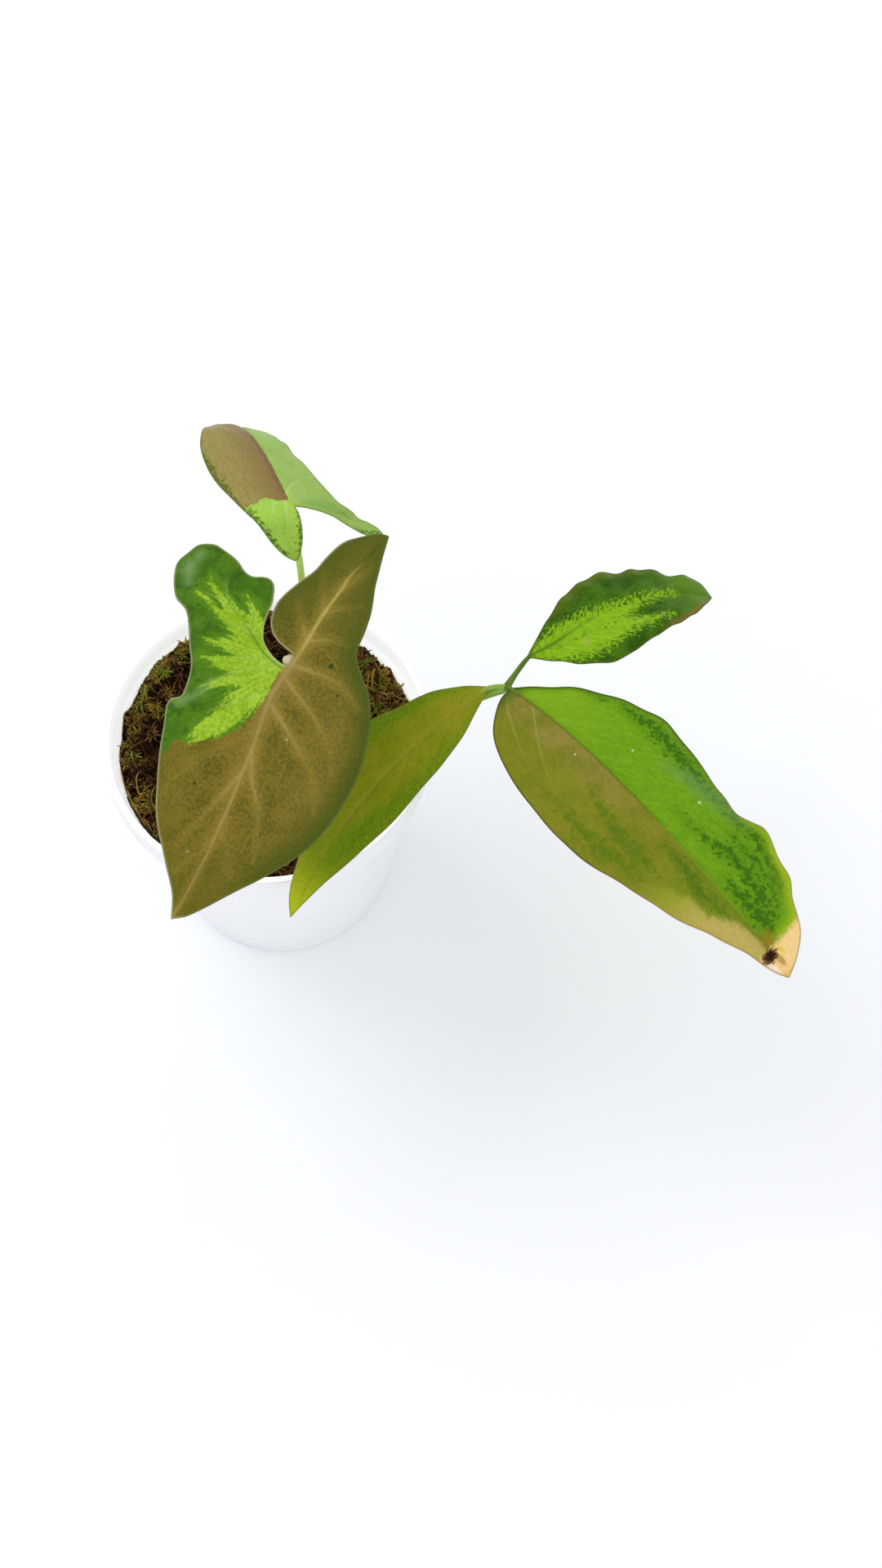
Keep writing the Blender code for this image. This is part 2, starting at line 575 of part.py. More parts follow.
def strand_paths(keep_clear):
    """Paths of loose moss strands: rooted in the mound, arching over, clear of wall and stalks."""
    draw = random.Random(STRAND_SEED)
    limit = pot_inner_radius(MOSS_EDGE_HEIGHT) - STRAND_WALL_GAP
    steps = np.linspace(0.0, 1.0, len(STRAND_RADII))
    strands = []
    while len(strands) < STRANDS:
        turn = draw.uniform(0.0, 2.0 * math.pi)
        radius = limit * math.sqrt(draw.uniform(0.08, 1.0)) * 0.97
        lean = turn + draw.uniform(-STRAND_SWING, STRAND_SWING)
        length = draw.uniform(*STRAND_LENGTH)
        rise = draw.uniform(*STRAND_RISE)
        root = np.array([radius * math.cos(turn), radius * math.sin(turn)])
        out = np.array([math.cos(lean), math.sin(lean)])
        flat = root + out * (0.6 * length * steps[:, None] ** 1.4)
        height = moss_height(*root) - STRAND_DEPTH + rise * length * np.sin(2.1 * steps)
        path = np.column_stack([flat, height])
        inside = np.hypot(path[:, 0], path[:, 1]).max() < limit
        stalk_gap = np.linalg.norm(path[:, None, :] - keep_clear[None, :, :], axis=-1).min()
        crown_gap = math.hypot(root[0] - CROWN_X, root[1] - CROWN_Y)
        if inside and stalk_gap > STRAND_STALK_GAP and crown_gap > STRAND_CROWN_GAP:
            strands.append(path)
    return strands


def split_path(path, length):
    """The part of a path up to `length` from its start, and the part after a small gap."""
    run = distance_along(path)
    cut = [np.interp(length, run, path[:, axis]) for axis in range(3)]
    begin = [np.interp(length + CLEARANCE, run, path[:, axis]) for axis in range(3)]
    return (np.vstack([path[run < length - 0.5], cut]),
            np.vstack([begin, path[run > length + CLEARANCE + 0.5]]))


def under_blade(leaf):
    """Point just under a blade's junction, and the blade's normal there."""
    pose = Pose(**leaf["pose"])
    normal = pose.normal(0.0, 0.0)
    return pose.junction - normal * (BLADE_THICKNESS / 2.0 + RIB_DEPTH + CLEARANCE), normal


def full_route(stalk):
    """Route of a stalk from inside the crown to its blade or to the hub of the leaflets."""
    points = list(stalk["route"])
    if "blade" in stalk:
        points.append(tuple(under_blade(stalk["blade"])[0]))
    return smooth_curve(points, np.linspace(0.0, 1.0, STALK_COLUMNS + 1))


def build_stalks(material):
    """Three petioles that start where their sheaths end; the third carries the stalks of three leaflets."""
    for stalk in STALKS:
        path = split_path(full_route(stalk), SHEATH_LENGTH)[1]
        radii = np.linspace(*stalk["radii"], len(path))
        normal = under_blade(stalk["blade"])[1] if "blade" in stalk else None
        petiole = add_object(stalk["name"], *tube_mesh(path, radii, TUBE_SIDES, normal), material)
        if "blade" not in stalk:
            combine(petiole, [build_branch(leaflet, material) for leaflet in BRANCHES], "UNION")


def build_branch(leaflet, material):
    """Short stalk from the hub to just behind a leaflet's base."""
    hub = np.array(HUB)
    base = np.array(leaflet["pose"]["junction"])
    span = (base - hub) / np.linalg.norm(base - hub)
    start = hub - span * BRANCH_RADIUS
    end = base - span * BRANCH_GAP
    radii = (1.3 * BRANCH_RADIUS, BRANCH_RADIUS, 0.8 * BRANCH_RADIUS)
    return add_object("branch", *tube_mesh([start, (start + end) / 2.0, end], radii, BRANCH_SIDES),
                      material)


def build_crown(material):
    """Short stem in the moss with a sheath round the foot of each petiole."""
    heights = (CROWN_FOOT, CROWN_FOOT + 8.0, CROWN_TOP - 3.0, CROWN_TOP)
    axis = [(CROWN_X, CROWN_Y, height) for height in heights]
    radii = (CROWN_RADIUS - 0.6, CROWN_RADIUS, CROWN_RADIUS - 0.4, CROWN_RADIUS - 1.6)
    crown = add_object("crown", *tube_mesh(axis, radii, CROWN_SIDES), material)
    sheaths = []
    for stalk in STALKS:
        path = split_path(full_route(stalk), SHEATH_LENGTH)[0]
        widths = stalk["radii"][0] + np.linspace(SHEATH_WALL, SHEATH_LIP, len(path))
        sheaths.append(add_object("sheath", *tube_mesh(path, widths), material))
    combine(crown, sheaths, "UNION")


def main():
    """Build every piece."""
    for item in list(bpy.data.objects):
        bpy.data.objects.remove(item)
    stem_green = make_material("stem_green", STEM_GREEN, 0.5)
    leaf_c_green = make_material("leaf_c_green", LEAF_C_GREEN, 0.42)

    build_pot(make_material("pot_white", POT_WHITE, 0.45))
    routes = np.vstack([full_route(stalk) for stalk in STALKS])
    build_moss(make_material("moss_brown", MOSS_BROWN, 0.95), routes)
    build_crown(stem_green)
    build_stalks(stem_green)
    add_object("leaf_a", *blade_mesh(LEAF_A), make_material("leaf_a_olive", LEAF_A_OLIVE, 0.45))
    add_object("leaf_b", *blade_mesh(LEAF_B), make_material("leaf_b_green", LEAF_B_GREEN, 0.45))
    for leaf in BRANCHES:
        add_object(leaf["name"], *blade_mesh(leaf), leaf_c_green)


main()
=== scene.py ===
"""Potted arrowhead plant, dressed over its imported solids.

Lengths below are in millimetres and angles in degrees; meshes are made in metres.
A blade is drawn flat, "along" from its junction to its tip and "across" positive on
its left side, and a pose bends the flat shape into space.
"""

import json
import math

import bpy
import numpy as np
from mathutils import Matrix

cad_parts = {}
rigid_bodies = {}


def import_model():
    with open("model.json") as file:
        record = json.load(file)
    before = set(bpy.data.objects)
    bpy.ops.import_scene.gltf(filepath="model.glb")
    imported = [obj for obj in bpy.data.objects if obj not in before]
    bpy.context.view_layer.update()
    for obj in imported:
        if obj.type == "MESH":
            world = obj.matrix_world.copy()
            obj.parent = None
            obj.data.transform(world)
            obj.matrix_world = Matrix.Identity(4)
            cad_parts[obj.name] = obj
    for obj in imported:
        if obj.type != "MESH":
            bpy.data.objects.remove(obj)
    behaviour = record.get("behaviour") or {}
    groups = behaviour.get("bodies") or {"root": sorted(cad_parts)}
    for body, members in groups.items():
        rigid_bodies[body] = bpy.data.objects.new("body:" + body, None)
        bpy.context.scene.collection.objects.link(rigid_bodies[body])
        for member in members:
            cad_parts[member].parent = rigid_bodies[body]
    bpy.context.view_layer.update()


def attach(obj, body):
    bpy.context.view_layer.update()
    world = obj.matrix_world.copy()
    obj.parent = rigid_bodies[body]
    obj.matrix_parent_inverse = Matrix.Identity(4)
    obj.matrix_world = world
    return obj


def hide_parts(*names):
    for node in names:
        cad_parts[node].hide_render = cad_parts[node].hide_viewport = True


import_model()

MM = 0.001
SEED = 12

POT_HEIGHT = 80.0
POT_RIM_RADIUS = 45.0
POT_BASE_RADIUS = 31.0
POT_WALL = 1.5
POT_FLOOR = 2.0
RIM_BAND = 9.0
RIM_OVERHANG = 2.4
RIM_THICKNESS = 2.0
POT_SIDES = 192
DRAIN_HOLES = 6
DRAIN_RADIUS = 3.0
DRAIN_CIRCLE = 21.0
DRAIN_SIDES = 40

MOSS_EDGE_HEIGHT = 74.5
MOSS_FOOT = 3.5
MOSS_MOUND = 6.5
MOUND_SIDES = 240
MOUND_RINGS = 110
MOUND_GAP = 0.4
MOUND_TONE = 0.12
STRANDS = 3000
STRAND_STEPS = 7
STRAND_SIDES = 4
STRAND_LENGTH = (4.0, 13.0)
STRAND_RADIUS = (0.14, 0.42)
TUFTS = 420
TUFT_LEAVES = 9
TUFT_SIDES = 3
TUFT_LENGTH = (1.4, 3.4)
TUFT_RADII = (0.22, 0.3, 0.2, 0.05)

CROWN_X = 14.0
CROWN_Y = -8.0
CROWN_FOOT = 70.0
CROWN_TOP = 87.0
CROWN_RADIUS = 4.2
CROWN_CLEARANCE = 5.4
SHEATH_LENGTH = 13.0
STALK_STEPS = 150
STALK_SIDES = 28
SHEATH_SIDES = 32
CROWN_STEPS = 60
CROWN_SIDES = 40
SHORT_STALK_STEPS = 50
SHORT_STALK_SIDES = 20

BLADE_TONE = 0.88
MOSS_TONE = 1.3
SIDES = ("left", "right")
HALF_THICKNESS = 0.24
EDGE_BULGE = 0.1
LEAFLET_COLUMNS = 40
FIELD_COLUMNS = 44
LOBE_COLUMNS = 22
RIB_STEPS = 25
VEIN_STEPS = 13
EDGE_STEPS = 90
HUB = (64.3, -2.4, 108.9)
# Above 1 it crowds the rows of a lobe's notch side towards the junction.
SINUS_PACE = 1.3
# A distance beyond any that a blade keeps, and a depth outside every band.
FAR = 99.0
OUTSIDE = -50.0

FLOOR_HALF = 12000.0
# The camera and the lights stand in metres.
CAMERA_PLACE = (0.0474, -0.2817, 0.6020)
CAMERA_TILT = 27.0
LIGHT_TARGET = (0.03, 0.0, 0.10)

# A leaf's points are (along, across), and its bands add a half width. "left" and "right" are margins
# that end at the tip; a waist gives the shares of a margin between which its rows fan out from the
# junction. "rows" counts the rows of blade, lobe and fan. "wave" is the edge ripple's height and
# wavelength. "boundary" goes round one of the two main colours.
LEAF_A = {
    "name": "arrowhead_leaf", "node": "leaf_a", "slot": "leaf_a_olive",
    "pose": {"junction": (9.8, -13, 140), "heading": -114, "pitch": -12, "droop": 25, "length": 85,
             "lobes": (12, 12), "crease": 10, "fold": (10, 8), "curl": (25, 25), "curl_width": 40},
    "rows": (170, 80, 50), "faint_veins": (5, 6, 7), "wave": (0.35, 15),
    "midrib": [(2.2, 0.95), (5, 0.2), (10.5, -0.3), (24.5, 0.7), (42, 0.8), (58, -0.6), (69, -2.5)],
    "left": [(-42.5, 8), (-34, 9.6), (-28, 11), (-21, 13.2), (-14, 14.4), (-8, 15.2), (-3, 19), (0, 22),
             (5.5, 25), (12.5, 27), (19.5, 28), (27.5, 27.3), (34, 26), (42, 22.5), (48.5, 17.8),
             (54.5, 12.5), (60.5, 7), (66.5, 1.3), (69, -2.5)],
    "left_waist": (0.3, 0.46),
    "left_lobe": {
        "rib": [(2.2, 0.95), (0.2, 1.25), (-3, 1.7), (-7, 2), (-15.5, 2.5), (-23.5, 3.5), (-29, 4.2),
                (-42.5, 8)],
        "sinus": [(-42.5, 8), (-42.4, 5.5), (-40, 1), (-36.5, -2), (-31, -4), (-26, -5), (-21, -7),
                  (-16, -9), (-12.5, -9.3), (-8.5, -8.5), (-5.6, -6.6), (-4.1, -4.2), (-3.3, -1.8),
                  (-2.6, 0.1), (-1.4, 0.8), (0.1, 0.8)]},
    "right": [(-20, -37.5), (-16, -39), (-12, -38), (-8.5, -36), (-5.5, -33.5), (-3.5, -30), (0, -27.5),
              (5, -24.5), (9.5, -22), (14.5, -21), (17.5, -21), (19, -23), (21, -23.5), (25, -22.5),
              (33, -20), (39.5, -18), (44.5, -16), (48.5, -14), (53, -11.2), (57, -8.3), (60.5, -5.8),
              (64, -4), (69, -2.5)],
    "right_waist": (0.26, 0.35),
    "right_lobe": {
        "rib": [(2.2, 0.95), (1.8, -0.6), (1.2, -3.2), (0, -6.4), (-1.8, -9.2), (-4.8, -13.4), (-9, -21),
                (-13, -27.5), (-20, -37.5)],
        "sinus": [(-20, -37.5), (-22.7, -36), (-23.7, -32.2), (-23, -29.5), (-21.3, -24.5), (-18.7, -20.7),
                  (-18, -18), (-19, -14.8), (-18, -12.4), (-13.8, -10.6), (-9.5, -10), (-5.6, -9.2),
                  (-2.6, -7.6), (-0.6, -5), (0.4, -2.8), (0.8, -1), (0.6, 0.2), (0.1, 0.8)]},
    "veins": [[(2.7, -0.5), (6.2, 5), (10, 11.5), (13.5, 15.9), (17.2, 19.5), (21.5, 22)],
              [(10.8, 0), (16.4, 8.2), (21.9, 15.3), (26.8, 19.6), (32, 21.5)],
              [(23, 0.8), (29.3, 3.5), (36.2, 8.4), (42.1, 10.3), (48, 12)],
              [(0.2, 0.5), (0.1, 6.9), (0.3, 12.4), (2.3, 17.6), (5, 21.5)],
              [(28, 0.9), (37.2, -2.1), (46.2, -5.8), (52, -8.5)],
              [(17, 0), (24, -5.5), (31, -11.5), (38, -15.5)], [(42, 0.9), (48, 4.6), (53.5, 8)],
              [(45, 0.8), (51, -2.4), (57.5, -5.6)], [(1, -0.6), (6.2, -9.7), (11.2, -15.9), (18.1, -20.6)],
              [(0.5, -0.5), (3.5, -11.7), (5.2, -17), (6.6, -21)],
              [(0, -0.4), (0.5, -9), (0.5, -17), (1.5, -24)],
              [(8, -0.5), (13.5, -7), (18.5, -13), (24, -18)], [(-3.4, -10), (-4, -17), (-3.8, -25)],
              [(-7.5, -18.5), (-9.5, -26), (-9.5, -32.5)], [(-4.8, -12.4), (-10, -14.5), (-15, -15.5)],
              [(-9, -21), (-14.5, -24), (-19, -25.5)], [(-7, 2), (-9, 7), (-9, 12)],
              [(-15.5, 2.5), (-19, 7), (-21, 10.5)], [(-7, 2), (-12, -2), (-17, -5.5)],
              [(-15.5, 2.5), (-22, -0.5), (-27, -3)], [(-23.5, 3.5), (-29, 6.5), (-33, 8)]],
    "boundary": [(-2, -0.3), (1.2, -0.7), (5, -1.2), (9.9, -1.4), (14.9, -2.2), (20.2, -4.6), (23.7, -8),
                 (26, -11.6), (28.2, -14.2), (27.4, -16), (28.4, -18), (31, -18.6), (34, -20.5), (34, -60),
                 (-60, -60), (-60, -3)],
    "patches": [[(0.8, -1.5, 1.5), (0.5, -5, 3.2), (-2.4, -10.5, 3.4), (-5.6, -17, 2.3), (-9.2, -22.5, 1.1),
                 (-13.8, -28.5, 0.2)],
                [(-2, -12, 2.4), (-4.6, -18.5, 1.4), (-7, -24, 0.7), (-8.8, -29, 0.1)],
                [(-1, -8, 1.8), (-6, -11.5, 1.9), (-9.6, -14.2, 1), (-12, -17, 0.1)],
                [(1.4, -3, 2.6), (1.2, -10, 3.6), (1.2, -16, 1.7), (2.2, -20.5, 0.3)],
                [(2.6, -3, 3), (5, -9.5, 3), (6, -15.5, 1.5), (6.6, -20, 0.2)],
                [(4, -2.6, 3), (7.6, -8, 3), (10.2, -12.5, 1.7), (13.6, -16.6, 0.2)],
                [(5, -2, 2.6), (11, -4.8, 3.4), (17, -7.6, 3.2), (22.5, -10.8, 2.6), (28.4, -14.4, 0.9)]],
    "shades": [[(10.6, -9.4, 0.2), (13.8, -12.8, 1.5), (18.5, -16.6, 4), (23.5, -19, 5)]],
    # Bands of painted sheen: a paler colour painted where highlights fall on the blade.
    "painted_sheen": [[(-20, -34, 0.8), (-15, -35, 1.8), (-11, -33, 0.8)],
              [(19, -21, 0.8), (16.6, -18.2, 0.5), (11.5, -15, 0.2)]],
}

LEAF_B = {
    "name": "folded_leaf", "node": "leaf_b", "slot": "leaf_b_green",
    "pose": {"junction": (9.5, 28.2, 150), "heading": 113, "pitch": 2, "droop": 74, "length": 60,
             "lobes": (64, 22), "crease": 7, "fold": (-5, -30), "fold_ahead": (27, -32), "curl": (10, 10),
             "curl_width": 25},
    "rows": (120, 50, 36), "faint_veins": (3, 6), "wave": (0.15, 12),
    "midrib": [(0, 0), (7.5, 0.6), (16.5, 0.5), (27, 0.5), (38, 0.2), (49, 0)],
    "left": [(-17, 3), (-14.5, 5.2), (-9.7, 7.6), (-3.3, 9.5), (2.7, 11.5), (7, 13), (12, 14.8), (17, 15.8),
             (22, 15.6), (27.5, 14), (33, 11.6), (38.5, 8.2), (44, 4), (49, 0)],
    "left_waist": (0.2, 0.32),
    "left_lobe": {
        "rib": [(0, 0), (-4, 1.8), (-9, 3.2), (-17, 3)],
        "sinus": [(-17, 3), (-16.2, 2), (-12, 0.6), (-7, -0.8), (-4.4, -1.2), (-2.9, -1.1), (-2, -0.9)]},
    "right": [(-14.5, -27), (-12.5, -26), (-10.3, -23.3), (-8, -19.6), (-1.5, -16), (4.8, -13.4),
              (10.2, -12), (15, -10.6), (21, -9.8), (28, -9.5), (34, -9.2), (39.5, -8), (44.5, -4.8),
              (49, 0)],
    "right_waist": (0.3, 0.42),
    "right_lobe": {
        "rib": [(0, 0), (-2, -6.5), (-5.6, -13), (-9.5, -19.5), (-14.5, -27)],
        "sinus": [(-14.5, -27), (-14.2, -23.5), (-13.2, -20), (-10.8, -16.5), (-7.5, -12.5), (-4.4, -8.2),
                  (-2.8, -4.2), (-2, -0.9)]},
    "veins": [[(0.5, 0.4), (0.5, 4), (-6.9, 5.5)], [(0.3, 1), (-5, 2.3), (-11, 2.4)],
              [(1.4, 0.4), (4.2, -1.8), (6.6, -4.8), (8.6, -7.4), (11, -10.4)],
              [(0.4, -1), (0.2, -6), (-2, -12), (-7, -19)], [(8, 0.6), (13, 6), (19, 11)],
              [(16, 0.5), (22, 5), (29, 9)], [(14, 0.5), (19, -4), (25, -7.5)],
              [(26, 0.5), (32, 4), (38, 6)], [(3, 0.3), (7, 6), (11, 11.5)]],
    "boundary": [(3.6, 30), (3.2, 10.8), (2.8, 9.2), (2.3, 7.5), (3.1, 6.8), (2.9, 5.3), (1.7, 3.5),
                 (0.6, 2.3), (0.5, 1), (0, 0), (60, 0), (60, 30)],
    "patches": [[(4, 11.5, 0.6), (0, 10, 1.1), (-4, 8.8, 0.9), (-9, 7.2, 0.7), (-15, 4.5, 0.6)],
                [(-2.6, -1.4, 0.5), (-6, -0.8, 0.9), (-9.5, 0.2, 0.6), (-14, 1.4, 0.4)],
                [(-14.4, -27, 1.2), (-13.6, -23.5, 0.8), (-11.5, -18, 0.3)],
                [(2, 11.6, 0.6), (8, 13.4, 1.5), (14, 15.4, 1.8), (20, 16, 1)]],
    "shades": [],
    # A band of painted sheen: a paler colour painted where a highlight falls on the lobe.
    "painted_sheen": [[(-1, -5, 1), (-3, -12, 2), (-8, -18, 1)]],
}

LEAF_C_CENTRE = {
    "name": "middle_leaflet", "node": "leaf_c_centre", "slot": "leaf_c_green",
    "pose": {"junction": (65.4, -3.1, 110), "heading": -45, "pitch": 0, "droop": 28, "length": 105,
             "fold": (10, 14), "curl": (30, 20), "curl_width": 25, "roll": 4},
    "rows": (260,), "vein_turn": 22, "faint_veins": (2, 3, 4, 5, 6, 7, 8, 9, 10), "wave": (0.4, 13),
    "midrib": [(0, 0), (17, 1.3), (38, 1.5), (60, 1), (85, 0.8), (104, 0)],
    "left": [(0, 0), (6, 6), (10.5, 10.2), (15, 13.7), (20.5, 17.1), (26, 19.8), (32.5, 22.2), (38, 22.5),
             (42.5, 22), (47.5, 20.8), (52.5, 20.2), (58, 19), (63.5, 18.2), (68.5, 20.2), (72, 21.3),
             (76.5, 20.3), (81, 18.7), (85.5, 17.3), (89, 14.8), (93, 12.6), (97.5, 9.6), (100.8, 5.8),
             (104, 0)],
    "right": [(0, 0), (0.8, -4.5), (3, -8.7), (6.3, -12.9), (10.4, -15.6), (17, -18.4), (24.5, -20),
              (31, -21), (37.5, -21.3), (44, -21.2), (49.5, -20), (56.5, -18.1), (63.5, -16.1),
              (70.5, -14.3), (77, -11.7), (83, -8.8), (89.5, -6), (95.5, -3.9), (100.5, -2.2), (104, 0)],
    "veins": [[(0.9, -0.4), (2.5, -4), (7.4, -7.4), (12.7, -10.4), (18.5, -12.7), (28, -15.5)],
              [(7.5, 0.4), (10.5, -2), (16.2, -6.6), (23.7, -11.2), (32.4, -14), (42, -16)],
              [(22, 1.3), (31, -3.5), (41, -8), (52, -11.5)],
              [(42.2, 1.4), (50.5, -2.9), (61.5, -6.7), (70, -8.8)], [(58, 1), (66, -2), (75, -5)],
              [(3, 0.2), (9, 5), (17, 10), (26, 14)], [(14, 1), (21, 6.5), (30, 12), (41, 16)],
              [(28, 1.4), (36, 7), (46, 12), (57, 15)], [(44, 1.4), (53, 7.5), (63, 13), (72, 17)],
              [(60, 1), (69, 6.5), (78, 11.5), (86, 13.5)], [(76, 0.9), (84, 5), (92, 8)]],
    "boundary": [(-5, 0), (0, 0), (8.5, 0.8), (17, 1.3), (38, 1.5), (60, 1), (85, 0.8), (104, 0), (120, 0),
                 (120, 60), (-5, 60)],
    "patches": [[(8, 9.6, 0.3), (16, 13.6, 0.7), (24, 16.2, 1.7), (32, 18.4, 2.9), (40, 18.1, 3.3),
                 (48, 17.2, 2.7), (56, 16.6, 2), (64, 16.4, 1.6), (72, 17.4, 2.6), (80, 15.8, 2.6),
                 (86, 12.8, 1.6)],
                [(52, 6.5, 0.4), (58, 6.8, 1.2), (64, 7.6, 2.4), (70, 9, 2.9), (76, 8.8, 3), (84, 8, 3.2),
                 (90, 6.8, 2)],
                [(74, 4, 1.6), (80, 4.2, 3), (86, 4.2, 3.6), (91, 4.2, 3.2), (93.5, 3.6, 1)],
                [(60, 11.6, 0.2), (68, 12.8, 1.5), (76, 12.8, 2.2), (84, 11, 2), (89, 9.4, 0.8)],
                [(56, -2.8, 0.8), (62, -2.2, 2.2), (67, -2.4, 3), (72, -3.8, 2.6), (78, -3, 1.8),
                 (85, -2, 0.6)],
                [(34, -6, 0.2), (42, -8, 1.8), (50, -9.8, 2.8), (57, -9.6, 2.4), (62, -9, 0.4)],
                [(24, -15, -1.5), (32, -15.5, 0.6), (40, -16.2, 1.9), (50, -15, 2.6), (60, -12.6, 0.8)]],
    "shades": [],
    # A band of painted sheen: a paler, bluish colour painted where a highlight falls along the fold.
    "painted_sheen": [[(42, 12.6, 0.5), (50, 15, 2), (58, 16.6, 2.8), (64, 17, 1.8), (68, 18, 0.4)]],
}

LEAF_C_RIGHT = {
    "name": "right_leaflet", "node": "leaf_c_right", "slot": "leaf_c_green",
    "pose": {"junction": (69.7, 4.9, 112), "heading": 30.7, "pitch": 2, "droop": 42, "length": 66,
             "fold": (12, 10), "curl": (25, 25), "curl_width": 16, "roll": -6},
    "rows": (180,), "vein_turn": 42, "faint_veins": (), "wave": (0.35, 9),
    "midrib": [(0, 0), (10, 0.3), (20, 1.9), (30, 3), (42, 3), (54, 2.6), (66.3, 0.4)],
    "left": [(0, 0), (10, 6.6), (18, 11.5), (25, 14.4), (32, 15.8), (36.5, 15.5), (40, 13.9), (44.7, 13.9),
             (50, 12.7), (53.7, 9.9), (58, 8.7), (62.8, 8.3), (65.2, 5.6), (66.3, 0.4)],
    "right": [(0, 0), (5.5, -5.3), (11, -9.5), (16, -12), (22, -12.7), (30, -11), (37, -9.3), (46, -7.5),
              (56, -4.4), (66.3, 0.4)],
    "veins": [[(5, 0.1), (10, 4), (17, 8)], [(12, 0.6), (18, 5.5), (27, 10.5)],
              [(21, 2), (28, 7), (37, 11.5)], [(31, 3), (38, 7), (46, 10)], [(42, 3), (48, 5.5), (56, 7)],
              [(7, 0.2), (13, -4), (20, -8)], [(16, 1.2), (23, -3), (32, -7)],
              [(27, 2.7), (34, -1), (43, -4.5)]],
    "boundary": [],
    "patches": [[(0, 0, 0.8), (6, 0.4, 2.4), (14, 0.4, 3.8), (22, 0.8, 4), (30, 1.2, 3), (37, 2.6, 1.2),
                 (45, 3.2, 0.8), (52, 2.9, 0.4)],
                [(2, -1, 1), (8, -3.6, 3), (15, -4.8, 4), (24, -4, 3.4), (32, -3.6, 2.4), (38, -4.2, 1),
                 (44, -4.5, 0.2)]],
    "shades": [], "painted_sheen": [],
}

LEAF_C_LEFT = {
    "name": "left_leaflet", "node": "leaf_c_left", "slot": "leaf_c_green",
    "pose": {"junction": (59.7, -2.4, 109.5), "heading": -133.8, "pitch": -6, "droop": 30, "length": 80,
             "fold": (8, 8), "curl": (20, 20), "curl_width": 16},
    "rows": (200,), "vein_turn": 38, "faint_veins": (), "wave": (0.25, 16),
    "midrib": [(0, 0), (10, -1.5), (22, -3), (40, -4.2), (62, -3.2), (80, -0.6)],
    "left": [(0, 0), (3, 1.2), (8.5, 2.8), (15.5, 4.8), (23, 5.6), (30, 5.8), (37, 6), (44, 5.7), (51, 4.7),
             (58.5, 3.3), (66.5, 1.6), (74, 0.2), (80, -0.6)],
    "right": [(0, 0), (4.2, -4.8), (9.3, -9), (14.5, -11.8), (20, -14.4), (25.5, -17), (31, -18.6),
              (37, -18.6), (44, -16.9), (54, -13.4), (63, -10), (70, -6.8), (76, -4), (80, -0.6)],
    "veins": [[(6, -0.8), (13, -5.5), (21, -10)], [(15, -2.2), (23, -7.5), (32, -12.5)],
              [(26, -3.4), (34, -8), (43, -12)], [(38, -4.2), (46, -7.5), (55, -9.5)],
              [(50, -3.9), (58, -6), (66, -6.4)], [(12, -1.8), (19, 1), (27, 3.4)],
              [(27, -3.4), (34, 0), (43, 3)], [(42, -4.2), (49, -1), (57, 1.2)]],
    "boundary": [],
    "patches": [[(6, 2.6, 0.4), (14, 5, 1.4), (26, 5.4, 2.2), (38, 5, 2.6), (48, 2.6, 3.2), (57, 0.2, 2.6),
                 (63, -1, 1)],
                [(3, -4, 0.8), (10, -9.2, 1.8), (18, -13, 2.8), (26, -16.5, 4), (36, -17, 4.4),
                 (48, -14, 3.4), (60, -9.6, 1.6)]],
    "shades": [], "painted_sheen": [],
}
LEAFLETS = (LEAF_C_CENTRE, LEAF_C_RIGHT, LEAF_C_LEFT)

STALK_A = {
    "name": "stalk_of_arrowhead_leaf", "node": "petiole_a", "blade": LEAF_A, "end": (-1, -0.35, 0.15),
    "radii": (1.7, 1.2),
    "route": [(13.6, -9.2, 80), (13.8, -9.8, 90), (14, -9.4, 104), (13.6, -8, 120), (12.2, -8, 132),
              (10.9, -10.4, 137.4)],
}
STALK_B = {
    "name": "stalk_of_folded_leaf", "node": "petiole_b", "blade": LEAF_B, "end": (0, 0, 0.35),
    "radii": (1.5, 0.72),
    "route": [(14, -6.6, 80), (14.6, -5, 90), (14.6, -0.8, 102), (13.6, 6, 113), (12.3, 14, 123),
              (11.4, 20.6, 132), (10.3, 25.8, 141), (9.7, 27.9, 146.5)],
}
STALK_C = {
    "name": "stalk_of_three_part_leaf", "node": "petiole_c", "radii": (1.7, 1.1),
    "route": [(14.6, -8.2, 80), (17, -8.4, 87), (24, -8.2, 92), (38, -6.8, 98), (52, -4.4, 103.6), HUB],
}
STALKS = (STALK_A, STALK_B, STALK_C)


